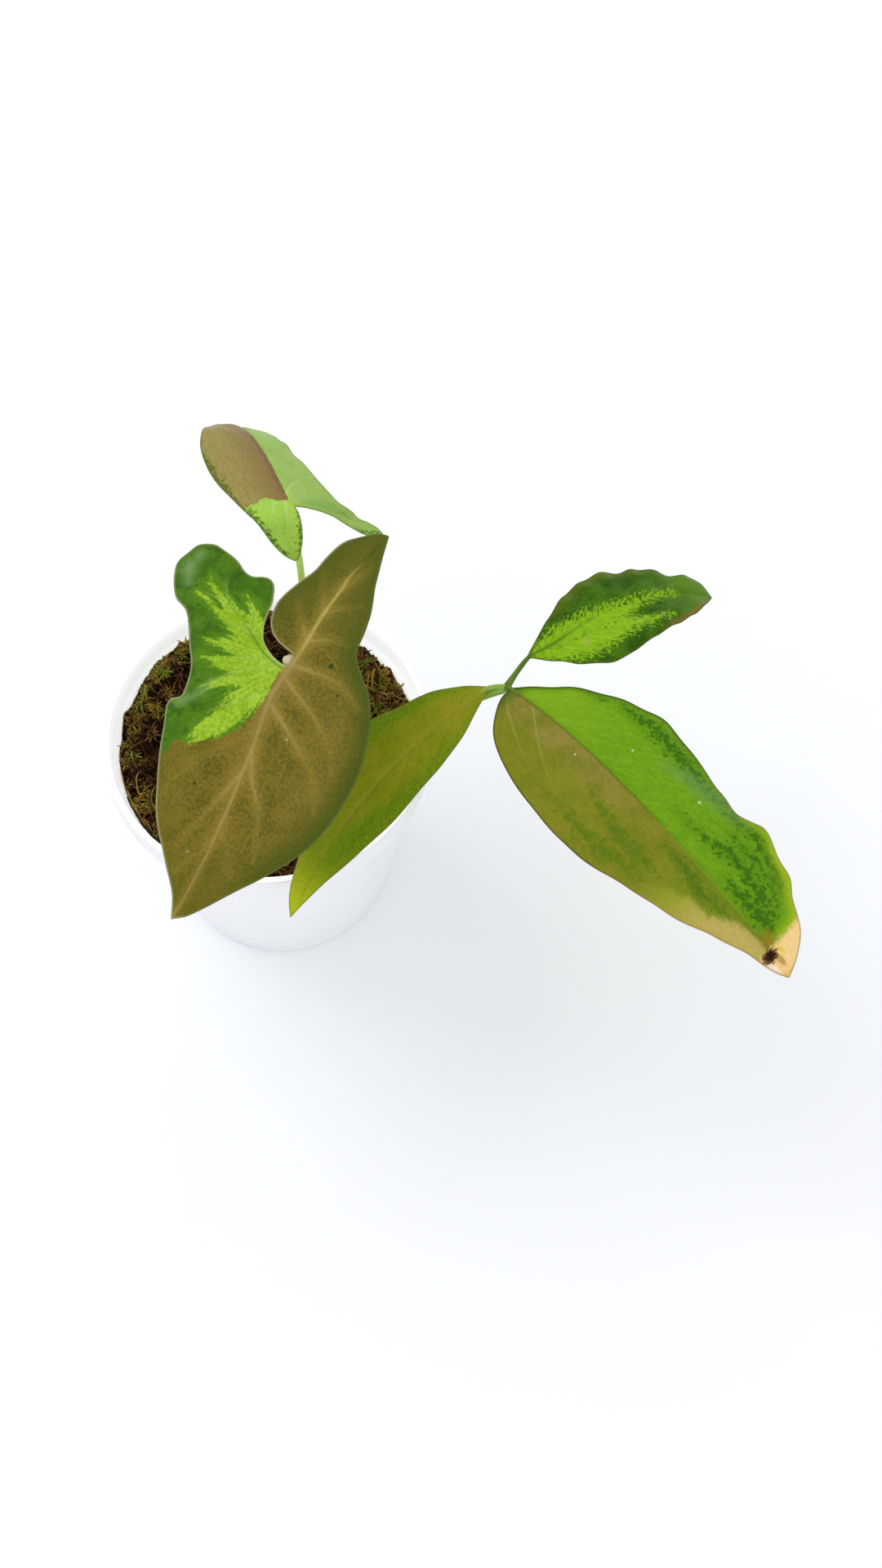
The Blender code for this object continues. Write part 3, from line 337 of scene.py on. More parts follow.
class Pose:
    """How a flat blade is set in space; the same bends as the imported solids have."""

    def __init__(self, junction, heading, pitch, droop, length, fold, curl, curl_width,
                 fold_ahead=None, lobes=(0.0, 0.0), crease=8.0, roll=0.0):
        self.junction = np.array(junction, float)
        self.heading, self.pitch = math.radians(heading), math.radians(pitch)
        self.droop, self.roll = math.radians(droop), math.radians(roll)
        self.length, self.crease, self.curl_width = length, crease, curl_width
        self.lobes, self.fold, self.curl = np.radians(lobes), np.radians(fold), np.radians(curl)
        self.fold_ahead = self.fold if fold_ahead is None else np.radians(fold_ahead)

    def place(self, along, across):
        """Points in space: the midrib is an arc that droops, each half is an arc that starts at
        its fold and curls down, and the lobes behind the junction turn down over a crease."""
        ahead, up, slope = bent_path(np.maximum(along, 0.0), self.pitch, -self.droop, self.length)
        leftness = soft_step(across / 6.0 + 0.5)
        lobe_turn = self.lobes[1] + (self.lobes[0] - self.lobes[1]) * leftness
        back, fall, back_slope = bent_path(np.maximum(-along, 0.0), -self.pitch, -lobe_turn, self.crease)
        slope = np.where(along >= 0.0, slope, -back_slope)

        left = across >= 0.0
        near, far, curl = (np.where(left, *pair) for pair in (self.fold, self.fold_ahead, self.curl))
        start = near + (far - near) * soft_step(along / (0.5 * self.length))
        out, rise, _ = bent_path(np.abs(across), start, -curl, self.curl_width)
        out = np.where(left, out, -out)

        side = out * math.cos(self.roll) - rise * math.sin(self.roll)
        lift = out * math.sin(self.roll) + rise * math.cos(self.roll)
        forward = ahead - back - lift * np.sin(slope)
        height = up + fall + lift * np.cos(slope)
        cosine, sine = math.cos(self.heading), math.sin(self.heading)
        return self.junction + np.stack([forward * cosine - side * sine,
                                         forward * sine + side * cosine, height], -1)

    def normal(self, along, across):
        """Unit normals of the upper face, from small steps along and across."""
        step = 0.2
        forward = self.place(along + step, across) - self.place(along - step, across)
        sideways = self.place(along, across + step) - self.place(along, across - step)
        return unit(np.cross(forward, sideways))


def unit(vectors):
    """Vectors of length one."""
    return vectors / np.linalg.norm(vectors, axis=-1, keepdims=True)


def bent_path(distance, start, turn, length):
    """Travel ahead, travel up and slope on a path that turns evenly over `length`, then runs straight."""
    rate = turn / length
    rate = np.where(np.abs(rate) < 1e-6, 1e-6, rate)
    bent = np.minimum(distance, length)
    straight = distance - bent
    slope = start + rate * bent
    ahead = (np.sin(slope) - np.sin(start)) / rate + straight * np.cos(slope)
    up = (np.cos(start) - np.cos(slope)) / rate + straight * np.sin(slope)
    return ahead, up, slope


def soft_step(value):
    """Smooth rise from 0 to 1 as value goes from 0 to 1: 3v^2 - 2v^3."""
    value = np.clip(value, 0.0, 1.0)
    return value * value * (3.0 - 2.0 * value)


def distance_along(path):
    """Distance of each point of a path from its start, along the path."""
    return np.concatenate([[0.0], np.cumsum(np.linalg.norm(np.diff(path, axis=0), axis=1))])


def smooth_curve(points, fractions):
    """Cubic curve through `points`, read at the given fractions of its length."""
    knots = np.array(points, float)
    knots = np.vstack([2.0 * knots[0] - knots[1], knots, 2.0 * knots[-1] - knots[-2]])
    before, here, after, beyond = (knots[shift:len(knots) - 3 + shift, None, :] for shift in range(4))
    t = np.linspace(0.0, 1.0, 16, endpoint=False)[None, :, None]
    dense = 0.5 * (2.0 * here + (after - before) * t
                   + (2.0 * before - 5.0 * here + 4.0 * after - beyond) * t ** 2
                   + (3.0 * here - before - 3.0 * after + beyond) * t ** 3)
    dense = np.vstack([dense.reshape(-1, knots.shape[1]), knots[-2]])
    run = distance_along(dense)
    wanted = np.asarray(fractions) * run[-1]
    return np.stack([np.interp(wanted, run, column) for column in dense.T], -1)


def even_curve(points, count):
    """Cubic curve through `points`, read at `count` even steps of its length."""
    return smooth_curve(points, np.linspace(0.0, 1.0, count))


def full_turn(count):
    """Angles of `count` even steps round a full turn."""
    return np.linspace(0.0, 2.0 * math.pi, count, endpoint=False)


def nearest_on_path(points, path):
    """Distance of each flat point from a path, and how far along the path its nearest point lies.

    On each straight piece the nearest point is the foot of the perpendicular, kept within the piece."""
    start = path[:-1]
    step = path[1:] - start
    square = (step ** 2).sum(-1)
    offset = points[:, None, :] - start[None, :, :]
    share = np.clip((offset * step).sum(-1) / square, 0.0, 1.0)
    gap = offset - share[..., None] * step
    distance = np.hypot(gap[..., 0], gap[..., 1])
    best = distance.argmin(1)
    rows = np.arange(len(points))
    walked = distance_along(path)[best] + share[rows, best] * np.sqrt(square[best])
    return distance[rows, best], walked


def inside_outline(points, outline):
    """Whether each flat point is inside a closed outline: a ray from it crosses an odd number of sides."""
    outline = np.asarray(outline, float)
    after = np.roll(outline, -1, axis=0)
    x, y = points[:, :1], points[:, 1:]
    spans = (outline[:, 1] > y) != (after[:, 1] > y)
    rise = after[:, 1] - outline[:, 1]
    rise = np.where(rise == 0.0, 1e-9, rise)
    crossing = outline[:, 0] + (y - outline[:, 1]) * (after[:, 0] - outline[:, 0]) / rise
    return (spans & (x < crossing)).sum(1) % 2 == 1


def spread(count):
    """Fractions from 0 to 1 that crowd towards both ends."""
    even = np.linspace(0.0, 1.0, count)
    return 0.6 * even + 0.2 * (1.0 - np.cos(math.pi * even))


def ruled(inner, outer, share):
    """Flat grid of straight rulings from the rib curve to the margin curve."""
    share = share[None, :, None]
    return inner[:, None, :] * (1.0 - share) + outer[:, None, :] * share


def blade_grids(leaf):
    """Flat grids that fill a blade, each with whether it is on the left side.

    A leaflet has one grid on each side of its midrib. An arrowhead has on each side a main field,
    whose inner edge runs up the lobe's rib, stays at the junction and follows the midrib, and
    the lobe's inner field between its rib and the sinus."""
    blade_rows = leaf["rows"][0]
    ahead = even_curve(leaf["midrib"], blade_rows + 1)
    if "left_lobe" not in leaf:
        return [(ruled(ahead, even_curve(leaf[side], blade_rows + 1), spread(LEAFLET_COLUMNS)),
                 side == "left") for side in SIDES]
    lobe_rows, fan_rows = leaf["rows"][1:]
    grids = []
    for side in SIDES:
        lobe = leaf[side + "_lobe"]
        back = smooth_curve(lobe["rib"], np.linspace(1.0, 0.0, lobe_rows + 1))
        inner = np.vstack([back, np.repeat(ahead[:1], fan_rows, axis=0), ahead[1:]])
        waist_start, waist_end = leaf[side + "_waist"]
        shares = np.concatenate([np.linspace(0.0, waist_start, lobe_rows + 1),
                                 np.linspace(waist_start, waist_end, fan_rows + 1)[1:],
                                 np.linspace(waist_end, 1.0, blade_rows + 1)[1:]])
        grids.append((ruled(inner, smooth_curve(leaf[side], shares), spread(FIELD_COLUMNS)), side == "left"))
        sinus = smooth_curve(lobe["sinus"], 1.0 - np.linspace(1.0, 0.0, lobe_rows + 1) ** SINUS_PACE)
        grids.append((ruled(back, sinus, spread(LOBE_COLUMNS)), side == "left"))
    return grids


def flat_triangles(leaf):
    """Flat points of a blade, which side each is on, and triangles that face up, with doubles merged."""
    flat, left, triangles = [], [], []
    base = 0
    for grid, on_left in blade_grids(leaf):
        rows, columns = grid.shape[:2]
        index = base + np.arange(rows * columns).reshape(rows, columns)
        corners = (index[:-1, :-1], index[1:, :-1], index[1:, 1:], index[:-1, 1:])
        a, b, c, d = (corner.ravel() for corner in corners)
        triangles += [np.stack([a, b, c], -1), np.stack([a, c, d], -1)]
        flat.append(grid.reshape(-1, 2))
        left.append(np.full(rows * columns, on_left))
        base += rows * columns
    flat = np.vstack(flat)
    _, first, merged = np.unique(np.round(flat, 3), axis=0, return_index=True, return_inverse=True)
    triangles = merged.ravel()[np.vstack(triangles)]
    flat = flat[first]
    a, b, c = (flat[column] for column in triangles.T)
    turn = (b[:, 0] - a[:, 0]) * (c[:, 1] - a[:, 1]) - (b[:, 1] - a[:, 1]) * (c[:, 0] - a[:, 0])
    kept = np.abs(turn) > 1e-5
    triangles = triangles[kept]
    facing_down = turn[kept] < 0.0
    triangles[facing_down] = triangles[facing_down][:, ::-1]
    return flat, np.concatenate(left)[first], triangles


def margin_edges(triangles, count):
    """Directed edges with a triangle on one side alone, as pairs of point numbers."""
    edges = np.vstack([triangles[:, [0, 1]], triangles[:, [1, 2]], triangles[:, [2, 0]]])
    forward = edges[:, 0] * count + edges[:, 1]
    backward = edges[:, 1] * count + edges[:, 0]
    return edges[~np.isin(forward, backward)]


def lobes_of(leaf):
    """The two basal lobes of an arrowhead; a leaflet has none."""
    return [leaf[side + "_lobe"] for side in SIDES if side + "_lobe" in leaf]


def rib_distance(leaf, flat):
    """Distance from the nearest main rib, over the rib's width, which falls to 0.35 at its tip."""
    rib = np.full(len(flat), FAR)
    for points in [leaf["midrib"]] + [lobe["rib"] for lobe in lobes_of(leaf)]:
        path = even_curve(points, RIB_STEPS)
        gap, walked = nearest_on_path(flat, path)
        rib = np.minimum(rib, gap / (1.0 - 0.65 * walked / distance_along(path)[-1]))
    return rib


def vein_fields(leaf, flat):
    """Distance from the nearest side vein, over its width, which falls to 0.4 at its tip, and how
    faded that vein is: from 0 at its root, or 0.75 where it is a faint one, to 1 at its tip."""
    vein, faded = np.full(len(flat), FAR), np.zeros(len(flat))
    for number, points in enumerate(leaf["veins"]):
        path = even_curve(points, VEIN_STEPS)
        gap, walked = nearest_on_path(flat, path)
        share = walked / distance_along(path)[-1]
        gap = gap / (1.0 - 0.6 * share)
        start = 0.75 if number in leaf["faint_veins"] else 0.0
        faded = np.where(gap < vein, start + (1.0 - start) * share, faded)
        vein = np.minimum(vein, gap)
    return vein, faded


def edge_fields(leaf, flat):
    """Distance from the edge, and a sine ripple along the edge that dies away within 5 mm of it."""
    margin, wave = np.full(len(flat), FAR), np.zeros(len(flat))
    height, wavelength = leaf["wave"]
    lines = [leaf[side] for side in SIDES] + [lobe["sinus"] for lobe in lobes_of(leaf)]
    for number, points in enumerate(lines):
        path = even_curve(points, EDGE_STEPS)
        gap, walked = nearest_on_path(flat, path)
        ends = soft_step(np.minimum(walked, distance_along(path)[-1] - walked) / 12.0)
        ripple = height * ends * np.sin(2.0 * math.pi * walked / wavelength + 1.3 * number)
        wave = np.where(gap < margin, ripple * np.exp(-(gap / 5.0) ** 2), wave)
        margin = np.minimum(margin, gap)
    return margin, wave


def vein_flow(leaf, flat, left):
    """Flat place that the streaks follow: turned round the junction of an arrowhead, or slanted away
    from a leaflet's midrib; slow along a vein and fast across it."""
    if "left_lobe" in leaf:
        turns = np.arctan2(flat[:, 1], flat[:, 0])
        turns = np.where(left, turns % (2.0 * math.pi), -(-turns % (2.0 * math.pi)))
        return turns * 20.0, np.hypot(flat[:, 0], flat[:, 1]) * 0.14
    outward = np.abs(flat[:, 1] - np.interp(flat[:, 0], *np.array(leaf["midrib"]).T))
    turn = math.radians(leaf["vein_turn"])
    return (outward * math.cos(turn) - flat[:, 0] * math.sin(turn),
            (outward * math.sin(turn) + flat[:, 0] * math.cos(turn)) * 0.3)


def blade_fields(leaf, flat, left, rim):
    """Numbers at each flat point that the shape and the colours of a blade follow.

    rib, vein, faded, margin, wave and flow are as their own functions say; split is the depth inside
    the boundary's outline, less than 0 outside it; patch is the depth in the bands of patches and
    out of those of shades; painted_sheen is the depth in the bands of painted sheen, a paler colour
    painted where highlights fall."""
    vein, faded = vein_fields(leaf, flat)
    margin, wave = edge_fields(leaf, flat)
    margin[np.unique(rim[:, 0])] = 0.0
    split = np.full(len(flat), OUTSIDE)
    if leaf["boundary"]:
        gap, _ = nearest_on_path(flat, np.array(leaf["boundary"] + leaf["boundary"][:1]))
        split = np.where(inside_outline(flat, leaf["boundary"]), gap, -gap)
    patch = np.minimum(depth_in_bands(flat, leaf["patches"]), -depth_in_bands(flat, leaf["shades"]))
    if leaf is LEAF_A:
        split = np.where(left, -np.maximum(np.abs(split), 0.3), split)
        patch = np.where(left, OUTSIDE, patch)
    return {"rib": rib_distance(leaf, flat), "vein": vein, "faded": faded, "margin": margin, "wave": wave,
            "flow": vein_flow(leaf, flat, left), "split": split, "patch": patch,
            "painted_sheen": depth_in_bands(flat, leaf["painted_sheen"])}


def depth_in_bands(flat, bands):
    """How deep each flat point lies in the nearest of some bands, less than 0 outside all of them.

    A band is a path of (along, across, half width); the depth is the half width less the distance."""
    depth = np.full(len(flat), OUTSIDE)
    for band in bands:
        band = np.array(band)
        gap, walked = nearest_on_path(flat, band[:, :2])
        width = np.interp(walked, distance_along(band[:, :2]), band[:, 2])
        depth = np.maximum(depth, width - gap)
    return depth


def blade_piece(leaf, finish):
    """Thin closed blade: its face dips along ribs and veins and swells between them, its back has
    the ribs raised, and a rounded strip closes the edge.

    Each dip, swell and ridge is a bell curve, exp(-(distance / width)^2), of the distance to its line."""
    flat, left, triangles = flat_triangles(leaf)
    count = len(flat)
    rim = margin_edges(triangles, count)
    fields = blade_fields(leaf, flat, left, rim)
    along, across = flat.T
    rib, vein = fields["rib"], fields["vein"]
    pose = Pose(**leaf["pose"])
    middle = pose.place(along, across)
    normal = pose.normal(along, across)
    inward = soft_step(fields["margin"] / 3.0)
    dip = 0.32 * np.exp(-(rib / 0.9) ** 2) + 0.12 * np.exp(-(vein / 0.6) ** 2)
    swell = 0.28 * (1.0 - np.exp(-(np.minimum(rib, vein + 0.2) / 3.0) ** 2)) * inward
    drift = 0.18 * np.sin(0.31 * along + 0.23 * across) * np.sin(0.27 * across - 0.12 * along)
    relief = swell - dip * inward + drift + fields["wave"] - 0.12
    half = HALF_THICKNESS * (0.45 + 0.55 * inward)
    taper = np.clip(1.0 - along / pose.length, 0.15, 1.0)
    ridge = 0.62 * taper * np.exp(-(rib / 0.8) ** 2) + 0.12 * np.exp(-(vein / 0.5) ** 2)
    upper = middle + normal * (relief + half)[:, None]
    lower = middle + normal * (relief - half - ridge * inward)[:, None]
    numbers = np.unique(rim[:, 0])
    rim_of = np.zeros(count, int)
    rim_of[numbers] = np.arange(len(numbers))
    run = middle[rim[:, 1]] - middle[rim[:, 0]]
    outward = np.zeros_like(middle)
    for end in (0, 1):
        np.add.at(outward, rim[:, end], np.cross(run, normal[rim[:, end]]))
    bulge = 0.5 * (upper + lower)[numbers] + unit(outward[numbers]) * EDGE_BULGE
    start, end = rim.T
    first, last = 2 * count + rim_of[start], 2 * count + rim_of[end]
    strips = [np.stack(corners, -1) for corners in (
        (end, start, first), (end, first, last),
        (last, first, start + count), (last, start + count, end + count))]
    faces = np.vstack([triangles, triangles[:, ::-1] + count] + strips)
    piece = new_piece(leaf["name"], np.vstack([upper, lower, bulge]), faces, finish)
    copies = np.concatenate([np.arange(count), np.arange(count), numbers])
    back = np.repeat([0.0, 1.0, 0.5], [count, count, len(numbers)])
    add_vectors(piece, "blade_place", along[copies], across[copies], back)
    add_vectors(piece, "blade_lines", *(fields[name][copies] for name in ("rib", "vein", "margin")))
    add_vectors(piece, "blade_marks", *(fields[name][copies] for name in ("split", "patch", "faded")))
    # The last number is the depth in the painted sheen's bands.
    add_vectors(piece, "blade_flow_and_sheen", *(values[copies] for values in (*fields["flow"], fields["painted_sheen"])))
    return piece


def new_piece(name, points, faces, finish, smooth_angle=None):
    """Object with its place in its mesh, from millimetre points and triangles or quads of point numbers."""
    mesh = bpy.data.meshes.new(name)
    faces = np.asarray(faces)
    corners = faces.shape[1]
    mesh.vertices.add(len(points))
    mesh.vertices.foreach_set("co", (np.asarray(points, float) * MM).ravel())
    mesh.loops.add(faces.size)
    mesh.loops.foreach_set("vertex_index", faces.ravel())
    mesh.polygons.add(len(faces))
    mesh.polygons.foreach_set("loop_start", np.arange(0, faces.size, corners))
    mesh.update(calc_edges=True)
    mesh.validate()
    mesh.shade_smooth()
    if smooth_angle is not None:
        mesh.set_sharp_from_angle(angle=math.radians(smooth_angle))
    mesh.materials.append(finish)
    piece = bpy.data.objects.new(name, mesh)
    bpy.context.scene.collection.objects.link(piece)
    return piece


def add_vectors(piece, name, first, second, third=0.0):
    """Three numbers for each point of a piece, for its material to read."""
    attribute = piece.data.attributes.new(name, "FLOAT_VECTOR", "POINT")
    vectors = np.stack(np.broadcast_arrays(first, second, third), -1)
    attribute.data.foreach_set("vector", vectors.astype(np.float32).ravel())


def ring_bands(index):
    """Two triangles for each square between neighbouring rings of point numbers."""
    after = np.roll(index, -1, axis=-1)
    quads = np.stack([index[..., :-1, :], after[..., :-1, :], after[..., 1:, :], index[..., 1:, :]], -1)
    quads = quads.reshape(-1, 4)
    return np.vstack([quads[:, [0, 1, 2]], quads[:, [0, 2, 3]]])


def capped_rings(count, sides):
    """Triangles of `count` rings of `sides` points, with the two points after them closing the ends."""
    index = np.arange(count * sides).reshape(count, sides)
    after = np.roll(index, -1, axis=1)
    first, last = (np.full(sides, count * sides + end) for end in (0, 1))
    return np.vstack([ring_bands(index), np.stack([after[0], index[0], first], -1),
                      np.stack([index[-1], after[-1], last], -1)])


def around(radius, angles, height):
    """Points at a radius, an angle and a height about the Z axis."""
    return np.stack(np.broadcast_arrays(radius * np.cos(angles), radius * np.sin(angles), height), -1)


def tube_grid(path, radii, sides, squeeze):
    """Points round a path: rings square to it, carried along without twist; `squeeze` presses a groove
    into the side that faces the guide."""
    tangents = unit(np.gradient(path, axis=0))
    guide = np.array([0.0, 1.0, 0.0]) if abs(tangents[0][1]) < 0.8 else np.array([1.0, 0.0, 0.0])
    across = []
    for tangent in tangents:
        guide = guide - tangent * guide.dot(tangent)
        guide = guide / np.linalg.norm(guide)
        across.append(guide)
    across = np.array(across)[:, None, :]
    second = np.cross(tangents, across[:, 0, :])[:, None, :]
    angles = full_turn(sides)[None, :, None]
    groove = squeeze * np.exp(-(np.minimum(angles, 2.0 * math.pi - angles) / 0.45) ** 2)
    size = np.asarray(radii)[:, None, None] * (1.0 - groove)
    return path[:, None, :] + size * (np.cos(angles) * across + np.sin(angles) * second)


def tube_piece(name, path, radii, sides, finish, squeeze=0.0):
    """Closed tube along a path; the path's own first and last points close its ends."""
    rings = tube_grid(path, radii, sides, squeeze)
    points = np.vstack([rings.reshape(-1, 3), path[[0, -1]]])
    piece = new_piece(name, points, capped_rings(len(path), sides), finish)
    angles = full_turn(sides)
    across = np.hstack([np.tile([np.cos(angles), np.sin(angles)], len(path)), np.zeros((2, 2))])
    run = distance_along(path)
    add_vectors(piece, "stalk_place", *across, np.concatenate([np.repeat(run, sides), run[[0, -1]]]))
    return piece


def many_tubes(paths, radii, sides):
    """Points and triangles of many closed tubes at once; paths is strands x steps x 3."""
    tangents = unit(np.gradient(paths, axis=1))
    guide = np.where(np.abs(tangents[..., 2:]) < 0.9, [[[0.0, 0.0, 1.0]]], [[[1.0, 0.0, 0.0]]])
    across = unit(np.cross(tangents, guide))
    second = np.cross(tangents, across)[:, :, None, :]
    angles = full_turn(sides)[:, None]
    rings = paths[:, :, None, :] + radii[..., None, None] * (
        np.cos(angles) * across[:, :, None, :] + np.sin(angles) * second)
    strands, steps = paths.shape[:2]
    index = np.arange(strands * steps * sides).reshape(strands, steps, sides)
    caps = [index[:, 0, [0, side + 1, side]] for side in range(1, sides - 1)]
    caps += [index[:, -1, [0, side, side + 1]] for side in range(1, sides - 1)]
    return rings.reshape(-1, 3), np.vstack([ring_bands(index)] + caps)


class Value:
    """A shader socket that Python's operators work on, one Math node for each."""

    def __init__(self, finish, socket):
        self.finish = finish
        self.socket = socket

    def math(self, operation, *others, first=None):
        """This value and the others through one Math node; `first` goes before this one."""
        values = ([] if first is None else [first]) + [self] + list(others)
        return self.finish.node("Math", {"operation": operation}, dict(enumerate(values)))

    def __add__(self, other):
        return self.math("ADD", other)

    __radd__ = __add__

    def __mul__(self, other):
        return self.math("MULTIPLY", other)

    __rmul__ = __mul__

    def __sub__(self, other):
        return self.math("SUBTRACT", other)

    def __rsub__(self, other):
        return self.math("SUBTRACT", first=other)

    def bell(self, width):
        """exp(-(value / width)^2): 1 at zero, falling away on both sides."""
        square = self.math("MULTIPLY", self)
        return (square * (-1.0 / width ** 2)).math("EXPONENT")

    def rise(self, low, high):
        """Smooth step from 0 at `low` to 1 at `high`."""
        return self.finish.node("MapRange", {"interpolation_type": "SMOOTHSTEP"},
                                {0: self, 1: low, 2: high, 3: 0.0, 4: 1.0})


class Finish:
    """One material: its shader and the nodes that feed it."""

    def __init__(self, name, **sockets):
        self.material = bpy.data.materials.new(name)
        self.material.use_nodes = True
        self.tree = self.material.node_tree
        self.shader = self.tree.nodes["Principled BSDF"]
        for socket, value in sockets.items():
            self.shader.inputs[socket.replace("_", " ")].default_value = value

    def node(self, kind, settings=None, sockets=None, output=0):
        """One node of any type: its settings first, then the values or links of its sockets."""
        made = self.tree.nodes.new("ShaderNode" + kind)
        for name, value in (settings or {}).items():
            setattr(made, name, value)
        for name, value in (sockets or {}).items():
            self.plug(made.inputs[name], value)
        return Value(self, made.outputs[output])

    def plug(self, socket, value):
        """A link from another node, or a plain number or colour."""
        if isinstance(value, Value):
            self.tree.links.new(value.socket, socket)
        elif isinstance(value, tuple) and len(value) == 3 and socket.type == "RGBA":
            socket.default_value = (*value, 1.0)
        else:
            socket.default_value = value

    def read(self, name):
        """The vector that a piece keeps under `name`, then its three numbers."""
        vector = self.node("Attribute", {"attribute_name": name}, output=1)
        return (vector,) + tuple(self.node("SeparateXYZ", sockets={0: vector}, output=axis)
                                 for axis in range(3))

    def place(self):
        """Object coordinates, in millimetres."""
        return self.scale(self.node("TexCoord", output=3), 1.0 / MM)

    def scale(self, vector, *by):
        """A vector times one number, or times three."""
        factors = tuple(by) * (3 // len(by))
        return self.node("VectorMath", {"operation": "MULTIPLY"}, {0: vector, 1: factors})

    def noise(self, vector, scale, detail=3.0, roughness=0.55):
        """Cloudy values about a half."""
        return self.node("TexNoise", None, {"Vector": vector, "Scale": scale, "Detail": detail,
                                            "Roughness": roughness})

    def cells(self, vector, scale):
        """Cracked cells: the distance to the nearest cell wall."""
        return self.node("TexVoronoi", {"feature": "DISTANCE_TO_EDGE"}, {"Vector": vector, "Scale": scale})

    def mix(self, low, high, share):
        """Colour between two colours."""
        return self.node("Mix", {"data_type": "RGBA"}, {0: share, 6: low, 7: high}, output=2)

    def coats(self, color, *coats):
        """A colour with others laid over it in turn, each given as (colour, share)."""
        for coat, share in coats:
            color = self.mix(color, coat, share)
        return color

    def relief(self, height, depth):
        """Bump of `depth` millimetres from a height of 0 to 1."""
        normal = self.node("Bump", None, {"Strength": 1.0, "Distance": depth * MM, "Height": height})
        self.plug(self.shader.inputs["Normal"], normal)

    def set(self, **sockets):
        """Values or links for the shader's own sockets."""
        for socket, value in sockets.items():
            self.plug(self.shader.inputs[socket.replace("_", " ")], value)
        return self.material


class Leaf(Finish):
    """Finish of a blade: reads what its piece keeps, and has the noises that all blades share."""

    def __init__(self, name):
        super().__init__(name, Roughness=0.42, Specular_IOR_Level=0.05)
        place, self.along, self.across, self.back = self.read("blade_place")
        _, self.rib, self.vein, self.margin = self.read("blade_lines")
        _, self.split, self.patch, self.faded = self.read("blade_marks")
        self.flow, _, _, self.painted_sheen = self.read("blade_flow_and_sheen")
        self.flat = self.scale(place, 1.0, 1.0, 0.0)
        self.grain = self.noise(self.flat, 1.1, 5.0, 0.6)
        self.fine = self.noise(self.flat, 2.6, 4.0, 0.65)
        self.cloud = self.noise(self.flat, 0.12, 4.0, 0.6)
        self.streaks = self.noise(self.scale(self.flow, 1.0, 1.0, 0.0), 1.0, 5.0, 0.68)

    def away(self, along, across, stretch_along=1.0, stretch_across=1.0):
        """Distance of the flat point from a spot, each axis scaled first."""
        forward = (self.along - along) * stretch_along
        sideways = (self.across - across) * stretch_across
        return (forward * forward + sideways * sideways).math("SQRT")

    def speckle(self, color, low, high, share=1.0):
        """Darker and lighter grains of a colour, as the cells of a blade give."""
        color = self.mix(color, low, self.fine.rise(0.46, 0.32) * (0.6 * share))
        return self.mix(color, high, self.fine.rise(0.54, 0.68) * (0.45 * share))

    def spots(self, color, spot_color, *spots):
        """Small round specks, each given as (along, across, radius)."""
        for along, across, radius in spots:
            share = (radius - self.away(along, across)).rise(-0.1, 0.15)
            color = self.mix(color, spot_color, share * 0.85)
        return color

    def complete(self, color, edge_color, edge_share, under_color, painted_sheen_color):
        """Painted sheen, a paler colour where highlights fall; a thin edge line; a back between its own
        colour and the face's; and a relief of fine cells and grains."""
        # Painted highlight: within the painted sheen bands the colour turns towards the sheen colour.
        color = self.mix(color, painted_sheen_color, self.painted_sheen.rise(-2.0, 2.4) * 0.45)
        color = self.mix(color, edge_color, self.margin.bell(0.32) * edge_share)
        under = self.mix(under_color, color, 0.35)
        color = self.mix(color, under, self.back.rise(0.4, 0.6))
        net = self.cells(self.flat, 0.6)
        color = self.scale(color, BLADE_TONE)
        self.relief(net.rise(0.0, 0.14) * 0.5 + self.fine * 0.45 + self.grain * 0.5, 0.16)
        gloss = 0.46 - self.grain * 0.12 + self.back * 0.12
        return self.set(Base_Color=color, Roughness=gloss)


